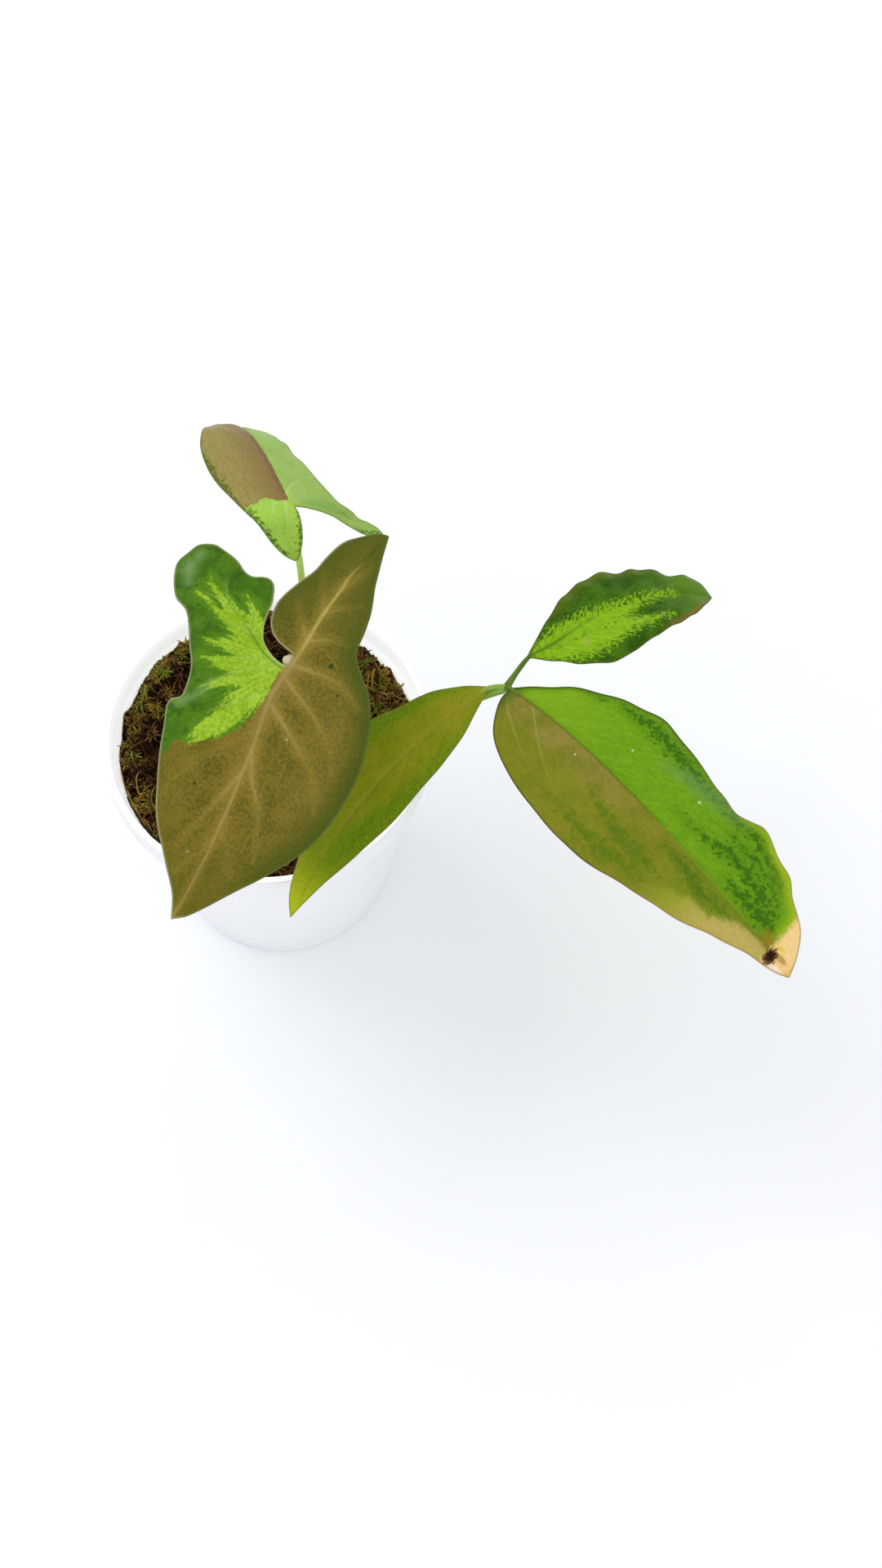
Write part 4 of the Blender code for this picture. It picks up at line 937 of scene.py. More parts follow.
def arrowhead_finish():
    """Olive brown with soft tan halos on its ribs, and a green part with a feathered lime patch."""
    leaf = Leaf("arrowhead_leaf_skin")
    mix, grain, fine, cloud = leaf.mix, leaf.grain, leaf.fine, leaf.cloud
    lobe = leaf.along.rise(-3, -16)
    rim_green = leaf.margin.bell(4.6) * (leaf.across.rise(4, 15) + lobe).math("MINIMUM", 1)
    blade_side = leaf.along.rise(-36, -24)
    halo = leaf.rib.bell(2.9) * blade_side * 0.8 + leaf.vein.bell(2.2) * (1 - leaf.faded * 0.6)
    halo = halo * (1 - lobe * 0.45)
    pink = leaf.rib.bell(2.4) * leaf.along.rise(26, 4) * leaf.along.rise(-4, 1)
    side_line = leaf.vein.bell(0.55) * leaf.faded.rise(0.85, 0.05) * (0.8 - lobe * 0.5)
    rib_color = mix((0.43, 0.32, 0.09), (0.54, 0.46, 0.11), leaf.along.rise(-2, -7))
    brown = leaf.coats(
        mix((0.104, 0.1, 0.007), (0.226, 0.168, 0.02), (cloud * 0.4 + grain * 0.6).rise(0.4, 0.58)),
        ((0.225, 0.186, 0.02), leaf.across.rise(-5, -15) * 0.35),
        ((0.25, 0.2, 0.03), leaf.across.rise(7, 19) * leaf.along.rise(52, 34) * 0.35),
        ((0.062, 0.098, 0.007), rim_green * 0.9),
        ((0.115, 0.125, 0.012), lobe * 0.55),
        ((0.15, 0.14, 0.01), leaf.along.rise(40, 62) * 0.6),
        ((0.305, 0.222, 0.032), (halo * (grain * 2.2 - 0.2)).math("MINIMUM", 0.9)),
        ((0.29, 0.19, 0.06), pink * 0.75),
        ((0.41, 0.3, 0.085), side_line),
        (rib_color, leaf.rib.bell(0.66) * blade_side * 0.85))
    brown = leaf.speckle(brown, (0.056, 0.062, 0.004), (0.26, 0.205, 0.035))

    feather = leaf.patch * 1.5 + (leaf.streaks - 0.5) * 11 + (grain - 0.5) * 4 + (fine - 0.5) * 3
    green = leaf.coats(
        mix((0.052, 0.15, 0.006), (0.092, 0.218, 0.011), cloud.rise(0.38, 0.62)),
        ((0.03, 0.098, 0.004), leaf.noise(leaf.flat, 0.3, 3).rise(0.5, 0.66) * 0.7),
        ((0.15, 0.3, 0.03), leaf.noise(leaf.flat, 0.55, 5, 0.7).rise(0.6, 0.72) * 0.35),
        ((0.11, 0.275, 0.008), feather.rise(-4.2, 0.2) * 0.8))
    lime = leaf.coats(
        mix((0.26, 0.46, 0.012), (0.4, 0.62, 0.045), (grain * 0.6 + cloud * 0.4).rise(0.42, 0.58)),
        ((0.18, 0.38, 0.008), leaf.streaks.rise(0.47, 0.37) * 0.7))
    green = leaf.coats(
        green,
        (lime, feather.rise(-0.7, 0.9)),
        ((0.42, 0.6, 0.13), leaf.vein.bell(0.34) * leaf.faded.rise(1, 0.3) * 0.4),
        ((0.06, 0.16, 0.008), leaf.rib.bell(0.34) * leaf.along.rise(-9, -2) * 0.6))
    green = leaf.speckle(green, (0.06, 0.15, 0.004), (0.3, 0.5, 0.04), 0.5)
    inside = leaf.split + (grain - 0.5) * 1.8 + (fine - 0.5) * 1.2
    color = mix(brown, green, inside.rise(-0.2, 0.2))
    color = leaf.spots(color, (0.03, 0.05, 0.004), (-2.7, 10.8, 0.7), (36, -9, 0.45), (3.5, 15.5, 0.4))
    color = leaf.spots(color, (0.48, 0.4, 0.24), (18, 8.2, 0.35), (31.5, 2.2, 0.25), (52, -4.5, 0.3))
    # Partly a paler margin and partly a painted highlight: the pale edge line is strongest on the right
    # side, where the thin edge catches the light.
    pale_edge_and_highlight = leaf.across.rise(2, -2) * 0.55 + 0.1
    return leaf.complete(color, (0.46, 0.46, 0.26), pale_edge_and_highlight, (0.22, 0.24, 0.06), (0.34, 0.5, 0.22))


def folded_finish():
    """Brown left half, pale green right half and lobes, with dark specks along the edges."""
    leaf = Leaf("folded_leaf_skin")
    mix, grain, cloud = leaf.mix, leaf.grain, leaf.cloud
    threads = leaf.noise(leaf.scale(leaf.flat, 0.35, 2.2, 0), 1, 4, 0.7)
    brown = leaf.coats(
        mix((0.29, 0.2, 0.072), (0.39, 0.318, 0.098), leaf.across.rise(1, 11)),
        ((0.2, 0.155, 0.034), threads.rise(0.44, 0.64) * 0.4),
        ((0.23, 0.115, 0.06), leaf.rib.bell(0.9) * 0.7))
    brown = leaf.speckle(brown, (0.15, 0.105, 0.025), (0.4, 0.33, 0.11))
    lobe = leaf.across.rise(-3, 0.5) * leaf.along.rise(6, 0)
    pale = leaf.coats(
        mix((0.31, 0.5, 0.095), (0.37, 0.56, 0.13), cloud.rise(0.35, 0.65)),
        ((0.405, 0.655, 0.085), lobe),
        ((0.56, 0.76, 0.26), leaf.vein.bell(0.42) * leaf.faded.rise(1, 0.3) * 0.6))
    pale = leaf.speckle(pale, (0.23, 0.42, 0.04), (0.5, 0.72, 0.16))
    specks = (leaf.patch + (leaf.noise(leaf.flat, 0.9, 5, 0.72) - 0.5) * 8).rise(0, 0.7)
    pale = mix(pale, (0.055, 0.135, 0.004), specks * 0.85)
    brown = mix(brown, (0.105, 0.13, 0.01), specks * 0.8)
    color = mix(pale, brown, (leaf.split + (grain - 0.5) * 1.2).rise(-0.2, 0.2))
    return leaf.complete(color, (0.14, 0.2, 0.03), 0.7, (0.34, 0.46, 0.14), (0.23, 0.4, 0.11))


def middle_leaflet_finish():
    """Green upper half with dark mottles, olive brown lower half, peach tip with a dark spot."""
    leaf = Leaf("middle_leaflet_skin")
    mix, grain, cloud = leaf.mix, leaf.grain, leaf.cloud
    blots = leaf.noise(leaf.scale(leaf.flow, 0.75, 1.9, 0), 1, 7, 0.72)
    depth = (leaf.patch * 0.8).math("MINIMUM", 2.4) - 0.9 + (blots - 0.5) * 16
    dots = (leaf.noise(leaf.flat, 0.85, 3, 0.6) - 0.5) * 15 + (leaf.patch * 0.35).math("MINIMUM", 0.5)
    gold = leaf.margin.bell(2.3) * leaf.along.rise(64, 80) + leaf.along.rise(91, 95) * 0.8
    lime = leaf.coats(
        mix((0.145, 0.34, 0.007), (0.2, 0.4, 0.01), leaf.streaks.rise(0.38, 0.62)),
        ((0.245, 0.46, 0.012), leaf.along.rise(34, 6) * 0.75),
        ((0.105, 0.26, 0.006), (leaf.patch + (cloud - 0.5) * 8).rise(-2, 3) * 0.75),
        ((0.29, 0.51, 0.03), leaf.vein.bell(0.5) * leaf.along.rise(60, 20) * 0.25),
        ((0.036, 0.135, 0.003), depth.rise(0, 1.2) * 0.9),
        ((0.05, 0.165, 0.004), (dots - 2.2).rise(0, 0.7) * leaf.across.rise(7, 14) * 0.85),
        ((0.4, 0.54, 0.014), (gold * (grain + 0.45)).math("MINIMUM", 0.9)),
        ((0.055, 0.15, 0.005), leaf.margin.bell(0.9) * leaf.along.rise(62, 40) * 0.85))

    near_rib = leaf.across.rise(-9, -1.5)
    soft = leaf.noise(leaf.flat, 0.55, 7, 0.74)
    tan = 5.4 - leaf.margin + (cloud - 0.5) * 9 + (leaf.streaks - 0.5) * 5
    tan_color = mix((0.37, 0.39, 0.03), (0.61, 0.48, 0.13), leaf.along.rise(66, 82))
    brown = leaf.coats(
        mix((0.255, 0.255, 0.016), (0.32, 0.26, 0.055), near_rib * leaf.along.rise(62, 20)),
        ((0.185, 0.21, 0.01), (cloud * 0.6 + leaf.streaks * 0.4).rise(0.42, 0.62) * 0.8),
        ((0.18, 0.27, 0.012), leaf.along.rise(52, 76) * 0.7),
        ((0.1, 0.195, 0.005), (leaf.patch + (soft - 0.5) * 17).rise(-1.2, 2.4) * 0.85),
        ((0.06, 0.15, 0.004), depth.rise(0.6, 2.4) * leaf.along.rise(50, 60) * 0.8),
        (tan_color, tan.rise(-1.6, 1.6) * leaf.along.rise(58, 72) * 0.9),
        ((0.36, 0.37, 0.07), leaf.vein.bell(0.34) * leaf.faded.rise(0.95, 0.3) * 0.8))
    brown = leaf.speckle(brown, (0.13, 0.135, 0.01), (0.29, 0.29, 0.04))
    lime = leaf.speckle(lime, (0.09, 0.25, 0.005), (0.26, 0.47, 0.015))
    base_green = leaf.along.rise(4.5, 0.5)
    color = leaf.coats(
        mix(brown, lime, (leaf.split + (grain - 0.5) * 0.6).rise(-0.12, 0.12)),
        ((0.06, 0.14, 0.008), base_green * 0.8),
        ((0.13, 0.15, 0.012), leaf.rib.bell(0.36) * leaf.along.rise(90, 50) * 0.75),
        ((0.27, 0.39, 0.03), leaf.rib.bell(0.36) * leaf.along.rise(40, 70) * 0.6))
    color = leaf.spots(color, (0.75, 0.8, 0.5), (55.6, 12.5, 0.4), (34.4, 9.6, 0.3), (24.9, -1.9, 0.3))
    color = leaf_tip(leaf, color)
    edge = mix((0.055, 0.065, 0.01), (0.38, 0.23, 0.09), leaf.along.rise(40, 74))
    return leaf.complete(color, edge, 0.75, (0.24, 0.34, 0.07), (0.16, 0.3, 0.095))


def leaf_tip(leaf, color):
    """Dying tip: orange brown, then a yellow fleck, then peach, with a frayed dark spot on the midrib."""
    mix, grain, fine = leaf.mix, leaf.grain, leaf.fine
    ragged = (grain - 0.5) * 5
    scorch = leaf.away(93.6, 1.8, 0.7, 1.1)
    threads = leaf.noise(leaf.scale(leaf.flat, 2.4, 0.7, 0), 1, 3)
    spot = 1.75 - leaf.away(96.5, -0.6, 1.1, 0.75) + (threads - 0.5) * 3.2 + (fine - 0.5) * 1.6
    color = leaf.coats(
        color,
        ((0.31, 0.2, 0.016), (2.3 - scorch + ragged + (fine - 0.5) * 3).rise(-1.4, 1.8) * 0.85),
        ((1, 0.69, 0.3), (leaf.along + leaf.across * 0.1 + ragged * 0.7).rise(94.2, 96.4)),
        ((1, 0.82, 0.6), leaf.across.rise(-0.2, -1.6) * leaf.along.rise(97, 98.6)),
        ((0.52, 0.33, 0.07), (1.3 - leaf.away(98.9, 1.3, 0.6, 1.6)).rise(-0.4, 0.6) * 0.85),
        ((0.85, 0.64, 0.08), (0.9 - leaf.away(97, 3, 0.6, 1.2)).rise(-0.3, 0.5) * 0.9),
        ((0.85, 0.56, 0.18), leaf.along.rise(101, 103) * 0.8),
        ((0.14, 0.06, 0.014), spot.rise(-0.5, 0.1) * 0.9))
    return mix(color, (0.03, 0.012, 0.005), spot.rise(0.1, 0.7))


def right_leaflet_finish():
    """Dark green with a lime centre feathered along the midrib, and a reddish lower edge by the tip."""
    leaf = Leaf("right_leaflet_skin")
    mix, grain, cloud = leaf.mix, leaf.grain, leaf.cloud
    olive_rim = leaf.margin.bell(2.6) * leaf.across.rise(6, 9) * leaf.along.rise(58, 44)
    slant = leaf.noise(leaf.scale(leaf.flow, 1.5, 2.2, 0), 1, 6, 0.74)
    feather = leaf.patch + (slant - 0.5) * 22 + (grain - 0.5) * 3
    dark = leaf.coats(
        mix((0.02, 0.085, 0.001), (0.06, 0.165, 0.003), cloud.rise(0.38, 0.62)),
        ((0.125, 0.255, 0.013), leaf.along.rise(44, 60) * 0.85),
        ((0.135, 0.16, 0.008), olive_rim * (grain + 0.2)))
    color = mix(dark, (0.105, 0.245, 0.006), (leaf.patch + (slant - 0.5) * 12).rise(-2.4, 1.2) * 0.6)
    lime = mix((0.235, 0.48, 0.008), (0.33, 0.58, 0.012), leaf.streaks.rise(0.38, 0.62))
    color = mix(color, lime, feather.rise(-0.3, 0.6) * 0.95)
    color = leaf.speckle(color, (0.045, 0.135, 0.003), (0.235, 0.45, 0.014))
    red = leaf.margin.bell(1.1) * leaf.across.rise(1, -2) * leaf.along.rise(36, 44)
    color = leaf.coats(
        color,
        ((0.085, 0.185, 0.008), leaf.rib.bell(0.45) * leaf.along.rise(32, 8) * 0.8),
        ((0.25, 0.38, 0.07), leaf.vein.bell(0.26) * 0.22),
        ((0.42, 0.44, 0.08), (0.9 - leaf.away(16, -4)).bell(0.32) * 0.8),
        ((0.3, 0.13, 0.035), red * (grain + 0.25)))
    return leaf.complete(color, (0.085, 0.1, 0.018), 0.75, (0.18, 0.32, 0.06), (0.18, 0.32, 0.06))


def left_leaflet_finish():
    """Olive brown centre, dark green edges, yellowish midrib and lime tip."""
    leaf = Leaf("left_leaflet_skin")
    mix, grain, cloud = leaf.mix, leaf.grain, leaf.cloud
    olive = leaf.coats(
        mix((0.245, 0.3, 0.006), (0.33, 0.325, 0.014), (cloud * 0.6 + grain * 0.4).rise(0.42, 0.58)),
        ((0.22, 0.32, 0.007), leaf.along.rise(34, 60) * 0.7))
    green = mix((0.115, 0.225, 0.004), (0.185, 0.345, 0.006), grain.rise(0.35, 0.65))
    depth = leaf.patch + (leaf.streaks - 0.5) * 6 + (grain - 0.5) * 4
    color = leaf.coats(
        mix(olive, green, depth.rise(-2.2, 1.6) * 0.85),
        ((0.34, 0.33, 0.03), leaf.rib.bell(1) * 0.5 + leaf.vein.bell(0.8) * 0.12))
    color = leaf.speckle(color, (0.12, 0.165, 0.004), (0.33, 0.35, 0.02))
    color = leaf.coats(
        color,
        ((0.38, 0.3, 0.04), leaf.margin.bell(1.3) * leaf.across.rise(0, -3) * leaf.along.rise(36, 56) * 0.7),
        ((0.6, 0.71, 0.018), (leaf.along + (grain - 0.5) * 14).rise(60, 80) * 0.85))
    return leaf.complete(color, (0.22, 0.19, 0.04), 0.5, (0.26, 0.32, 0.07), (0.3, 0.3, 0.1))


def stalk_finish(name, low, high, flecks=0, rim=(0, 0, 0), rim_share=0):
    """Smooth stalk with fine lengthwise lines, soft patches of a second colour and brown flecks; a
    sheath also has a rim of another colour at its top."""
    finish = Finish(name, Roughness=0.42, Specular_IOR_Level=0.15)
    vector, _, _, lengthwise = finish.read("stalk_place")
    lines = finish.noise(finish.scale(vector, 6, 6, 0.05), 1, 4, 0.6)
    patches = finish.noise(finish.scale(vector, 1, 1, 0.12), 1, 3)
    spots = finish.noise(finish.scale(vector, 4, 4, 1.4), 1, 2)
    color = finish.coats(
        finish.mix(low, high, patches.rise(0.35, 0.65)),
        (tuple(0.7 * channel for channel in low), lines.rise(0.55, 0.75) * 0.4),
        ((0.26, 0.14, 0.06), spots.rise(0.62, 0.7) * flecks),
        (rim, (lengthwise + patches * 3).rise(SHEATH_LENGTH - 3.5, SHEATH_LENGTH) * rim_share))
    finish.relief(lines, 0.12)
    return finish.set(Base_Color=finish.scale(color, BLADE_TONE), Roughness=0.38 + patches * 0.15)


def pot_finish():
    """White moulded plastic: near even colour, faint flow marks, light scuffs and a soft sheen; the inner
    wall near the rim has painted light, a glow.
    """
    finish = Finish("white_pot_plastic", Roughness=0.35, Specular_IOR_Level=0.4, Emission_Strength=0.6)
    place = finish.place()
    flow = finish.noise(finish.scale(place, 0.02, 0.02, 0.12), 1, 4)
    skin = finish.noise(place, 1.6, 3)
    scuff = finish.noise(finish.scale(place, 0.25, 0.25, 1.6), 1, 6, 0.7).rise(0.6, 0.72)
    color = finish.coats(
        finish.mix((0.885, 0.895, 0.915), (0.915, 0.92, 0.935), flow.rise(0.35, 0.65)),
        ((0.8, 0.795, 0.78), scuff * 0.2))
    finish.relief(skin * 0.5 + flow * 0.2, 0.05)
    # Painted light: from 50 mm up, the inner face of the wall emits near-white light. It stands in for light
    # let through the thin plastic into the shaded inside.
    flat = finish.node("VectorMath", {"operation": "LENGTH"}, {0: finish.scale(place, 1, 1, 0)}, output=1)
    height = finish.node("SeparateXYZ", None, {0: place}, output=2)
    widening = pot_inner_radius(1) - pot_inner_radius(0)
    band = height.rise(POT_HEIGHT - RIM_BAND - 0.4, POT_HEIGHT - RIM_BAND + 0.4)
    inside = (flat - height * widening - pot_inner_radius(0) - band).rise(1.4, 0.8)
    painted_inner_light = finish.mix((0, 0, 0), (0.95, 0.98, 1), inside * height.rise(50, 70))
    return finish.set(Base_Color=color, Roughness=0.34 + scuff * 0.16 + skin * 0.06, Emission_Color=painted_inner_light)


def moss_finish(name):
    """Moss strands: near black, rust, ochre or green by each strand's tone, paler to the tip."""
    finish = Finish(name, Roughness=0.85, Specular_IOR_Level=0.1)
    _, tone, tip, _ = finish.read("moss_tone")
    place = finish.place()
    dirt = finish.noise(place, 0.45, 5)
    color = finish.coats(
        finish.mix((0.01, 0.004, 0.002), (0.05, 0.02, 0.006), tone.rise(0, 0.3)),
        ((0.13, 0.052, 0.012), tone.rise(0.3, 0.5)),
        ((0.225, 0.12, 0.022), tone.rise(0.5, 0.68)),
        ((0.24, 0.2, 0.022), tone.rise(0.68, 0.84)),
        ((0.105, 0.15, 0.009), tone.rise(0.86, 0.95)),
        ((0.4, 0.32, 0.1), tip.rise(0.5, 1.1) * tone.rise(0.3, 0.7) * 0.5),
        ((0.008, 0.004, 0.002), dirt.rise(0.46, 0.66) * 0.55))
    finish.relief(finish.noise(place, 3.5, 3), 0.15)
    return finish.set(Base_Color=finish.scale(color, MOSS_TONE), Roughness=0.78 + dirt * 0.2)


def pot_inner_radius(height):
    """Inner radius of the tapered wall: it widens evenly from the base to the rim band."""
    widening = POT_RIM_RADIUS - RIM_OVERHANG - POT_BASE_RADIUS
    return POT_BASE_RADIUS + widening * height / (POT_HEIGHT - RIM_BAND) - POT_WALL


def lathe_piece(name, profile, sides, finish, smooth_angle):
    """Surface of revolution: a closed profile of (radius, height) turned about Z, its ends on the axis.

    The rings start half a step round, so that none of their points meets a point of a drain hole."""
    angles = (np.arange(sides) + 0.5) * 2.0 * math.pi / sides
    rings = around(profile[1:-1, 0, None], angles, profile[1:-1, 1, None]).reshape(-1, 3)
    points = np.vstack([rings, around(0.0, 0.0, profile[[0, -1], 1])])
    return new_piece(name, points, capped_rings(len(profile) - 2, sides), finish, smooth_angle)


def rounded(points, size, steps=4):
    """Profile with each inner corner cut and rounded by a short curve of about `size`."""
    points = np.array(points, float)
    result = [points[:1]]
    share = np.linspace(0.0, 1.0, steps + 1)[:, None]
    for before, corner, after in zip(points[:-2], points[1:-1], points[2:]):
        back, ahead = before - corner, after - corner
        reach = min(size, 0.45 * np.linalg.norm(back), 0.45 * np.linalg.norm(ahead))
        start, end = corner + unit(back) * reach, corner + unit(ahead) * reach
        result.append(start * (1 - share) ** 2 + 2 * corner * share * (1 - share) + end * share ** 2)
    return np.vstack(result + [points[-1:]])


def build_pot():
    """Nursery pot: flat base with a faint step and drain holes, tapered wall, stepped rim band."""
    finish = pot_finish()
    base, rim, top = POT_BASE_RADIUS, POT_RIM_RADIUS, POT_HEIGHT
    band = POT_HEIGHT - RIM_BAND
    outside = [(0.0, 0.0), (base - 5.0, 0.0), (base - 4.6, 0.35), (base - 3.4, 0.35), (base - 3.0, 0.0),
               (base, 0.0), (rim - RIM_OVERHANG, band), (rim - 0.1, band + 0.5), (rim, top)]
    inside = [(rim - RIM_THICKNESS, top), (rim - RIM_THICKNESS, band + 2.0), (pot_inner_radius(band), band),
              (pot_inner_radius(POT_FLOOR), POT_FLOOR), (0.0, POT_FLOOR)]
    pot = lathe_piece("nursery_pot", rounded(outside + inside, 0.9), POT_SIDES, finish, 40.0)
    drill_holes(pot, finish)
    finish_piece(pot, "pot_white", "pot")


def drill_holes(pot, finish):
    """Round drain holes through the floor, cut by one applied Boolean."""
    group = bpy.data.collections.new("drills")
    for angle in full_turn(DRAIN_HOLES):
        path = around(DRAIN_CIRCLE, angle, np.array([-1.0, POT_FLOOR + 1.0]))
        drill = tube_piece("drill", path, (DRAIN_RADIUS, DRAIN_RADIUS), DRAIN_SIDES, finish)
        bpy.context.scene.collection.objects.unlink(drill)
        group.objects.link(drill)
    modifier = pot.modifiers.new("drill", "BOOLEAN")
    modifier.operation = "DIFFERENCE"
    modifier.operand_type = "COLLECTION"
    modifier.collection = group
    modifier.solver = "EXACT"
    drilled = bpy.data.meshes.new_from_object(pot.evaluated_get(bpy.context.evaluated_depsgraph_get()))
    pot.modifiers.clear()
    pot.data = drilled
    for drill in list(group.objects):
        bpy.data.objects.remove(drill)
    bpy.data.collections.remove(group)


def moss_height(x, y):
    """Height of the moss: a low mound, 1 - (radius / edge)^2, with two sizes of sine lumps, that falls
    away outside its brink everywhere but at the back, where it rises a little."""
    radius = np.hypot(x, y)
    mound = MOSS_MOUND * (1.0 - (radius / pot_inner_radius(MOSS_EDGE_HEIGHT)) ** 2)
    lumps = 1.3 * np.sin(0.55 * x + 1.1) * np.cos(0.48 * y - 0.4)
    back = np.exp(-((np.arctan2(y, x) - 1.75) / 0.4) ** 2)
    fall = (3.6 - 5.6 * back) * soft_step((radius - moss_brink(x, y)) / 3.5)
    return MOSS_EDGE_HEIGHT + mound + lumps + 0.8 * np.sin(0.93 * x - 0.71 * y) - fall


def moss_brink(x, y):
    """Radius at which the moss starts to fall away: a wavy ring, pulled in on the left and on the right."""
    turn = np.arctan2(y, x)
    left = np.exp(-((turn - 2.75) / 0.55) ** 2)
    right = np.exp(-((turn - 0.5) / 0.45) ** 2)
    return 38.6 - 3.2 * left - 3.4 * right + 0.9 * np.sin(5.0 * turn + 0.8) + 0.5 * np.sin(11.0 * turn)


def build_moss():
    """Rough mound that fills the pot, strands that lie over it, and small tufts among them."""
    mound, strands, tufts = (moss_finish("moss_" + part) for part in ("mound", "strand", "tuft"))
    draw = np.random.default_rng(SEED)
    build_mound(mound)
    build_strands(strands, draw)
    build_tufts(tufts, draw)


def build_mound(finish):
    """Closed body: a disc of rings whose height is the mound plus fine crossed waves, and a tapered side."""
    angles = full_turn(MOUND_SIDES)
    edge = pot_inner_radius(MOSS_EDGE_HEIGHT) - MOUND_GAP
    radius = edge * np.linspace(0.004, 1.0, MOUND_RINGS)[:, None]
    x, y = radius * np.cos(angles), radius * np.sin(angles)
    rough = (np.sin(1.9 * x + 1.3 * np.sin(1.1 * y)) * np.sin(2.1 * y + 1.7 * np.sin(0.9 * x))
             + 0.5 * np.sin(4.3 * x - 2.2 * y) * np.sin(3.7 * y + 1.9 * x))
    z = moss_height(x, y) - 1.1 + 0.8 * rough
    side = np.array([60.0, 30.0, MOSS_FOOT])[:, None]
    low = around(pot_inner_radius(side) - MOUND_GAP, angles, side)
    rings = np.vstack([np.stack([x, y, z], -1), low])
    points = np.vstack([rings.reshape(-1, 3), around(0.0, 0.0, np.array([z[0].mean(), MOSS_FOOT]))])
    piece = new_piece("moss_mound", points, capped_rings(len(rings), MOUND_SIDES)[:, ::-1], finish)
    add_vectors(piece, "moss_tone", np.full(len(points), MOUND_TONE), 0.0)
    finish_piece(piece, "moss_brown", "moss")


def build_strands(finish, draw):
    """Thousands of thin strands: each lies along the mound, arches a little and curls sideways; those at
    the left edge lean outwards."""
    edge = pot_inner_radius(MOSS_EDGE_HEIGHT) - 1.0
    turn = draw.uniform(0.0, 2.0 * math.pi, STRANDS)
    radius = edge * np.sqrt(draw.uniform(0.0, 1.0, STRANDS))
    root = np.stack([radius * np.cos(turn), radius * np.sin(turn)], -1)
    lean = draw.uniform(0.0, 2.0 * math.pi, STRANDS)
    fringe = (radius > 31.0) & (root[:, 0] < -12.0)
    lean = np.where(fringe, turn + 0.3 * (lean - math.pi), lean)
    length = draw.uniform(*STRAND_LENGTH, STRANDS)
    share = np.linspace(0.0, 1.0, STRAND_STEPS)
    bend = draw.normal(0.0, 0.9, STRANDS)
    heading = lean[:, None] + bend[:, None] * share
    stride = length[:, None] / (STRAND_STEPS - 1)
    x = root[:, :1] + np.cumsum(np.cos(heading) * stride, axis=1)
    y = root[:, 1:] + np.cumsum(np.sin(heading) * stride, axis=1)
    arch = draw.uniform(0.3, 2.6, STRANDS)[:, None] * np.sin(math.pi * share * 0.9)
    arch = arch + np.where(fringe, 1.6, 0.0)[:, None] * share
    x, y = push_clear(x, y, edge)
    z = moss_height(x, y) - 0.9 + arch + draw.uniform(-0.6, 0.8, STRANDS)[:, None]
    thick = draw.uniform(*STRAND_RADIUS, STRANDS)[:, None] * (1.0 - 0.65 * share ** 2)
    points, faces = many_tubes(np.stack([x, y, z], -1), thick, STRAND_SIDES)
    piece = new_piece("moss_strands", points, faces, finish)
    tone = np.repeat(strand_tone(draw, root), STRAND_STEPS * STRAND_SIDES)
    add_vectors(piece, "moss_tone", tone, np.tile(np.repeat(share, STRAND_SIDES), STRANDS))
    finish_piece(piece, "moss_brown")


def strand_tone(draw, root):
    """Tone of each strand from 0, near black, to 1, green; the outer left edge is ochre and green, and
    the right side mostly ochre."""
    radius = np.hypot(root[:, 0], root[:, 1])
    fringe = soft_step((radius - 29.0) / 7.0) * soft_step((8.0 - root[:, 0]) / 30.0)
    green_side = np.exp(-((root[:, 0] + 28.0) / 10.0) ** 2 - ((root[:, 1] - 21.0) / 9.0) ** 2)
    right_side = 0.9 * soft_step((root[:, 0] - 18.0) / 10.0)
    chance = draw.uniform(0.0, 1.0, len(root))
    tone = 0.62 * draw.uniform(0.0, 1.0, len(root)) ** 1.5
    ochre = draw.uniform(0.5, 0.84, len(root))
    tone = np.where(chance < np.maximum(0.72 * fringe, right_side), ochre, tone)
    return np.where(chance > 0.985 - 0.45 * green_side * fringe, draw.uniform(0.86, 1.0, len(root)), tone)


def push_clear(x, y, edge):
    """Flat points kept inside the pot's wall and outside the stem."""
    away = np.hypot(x - CROWN_X, y - CROWN_Y)
    factor = np.maximum(away, CROWN_CLEARANCE) / np.maximum(away, 1e-6)
    x, y = CROWN_X + (x - CROWN_X) * factor, CROWN_Y + (y - CROWN_Y) * factor
    radius = np.hypot(x, y)
    factor = np.minimum(radius, edge) / np.maximum(radius, 1e-6)
    return x * factor, y * factor


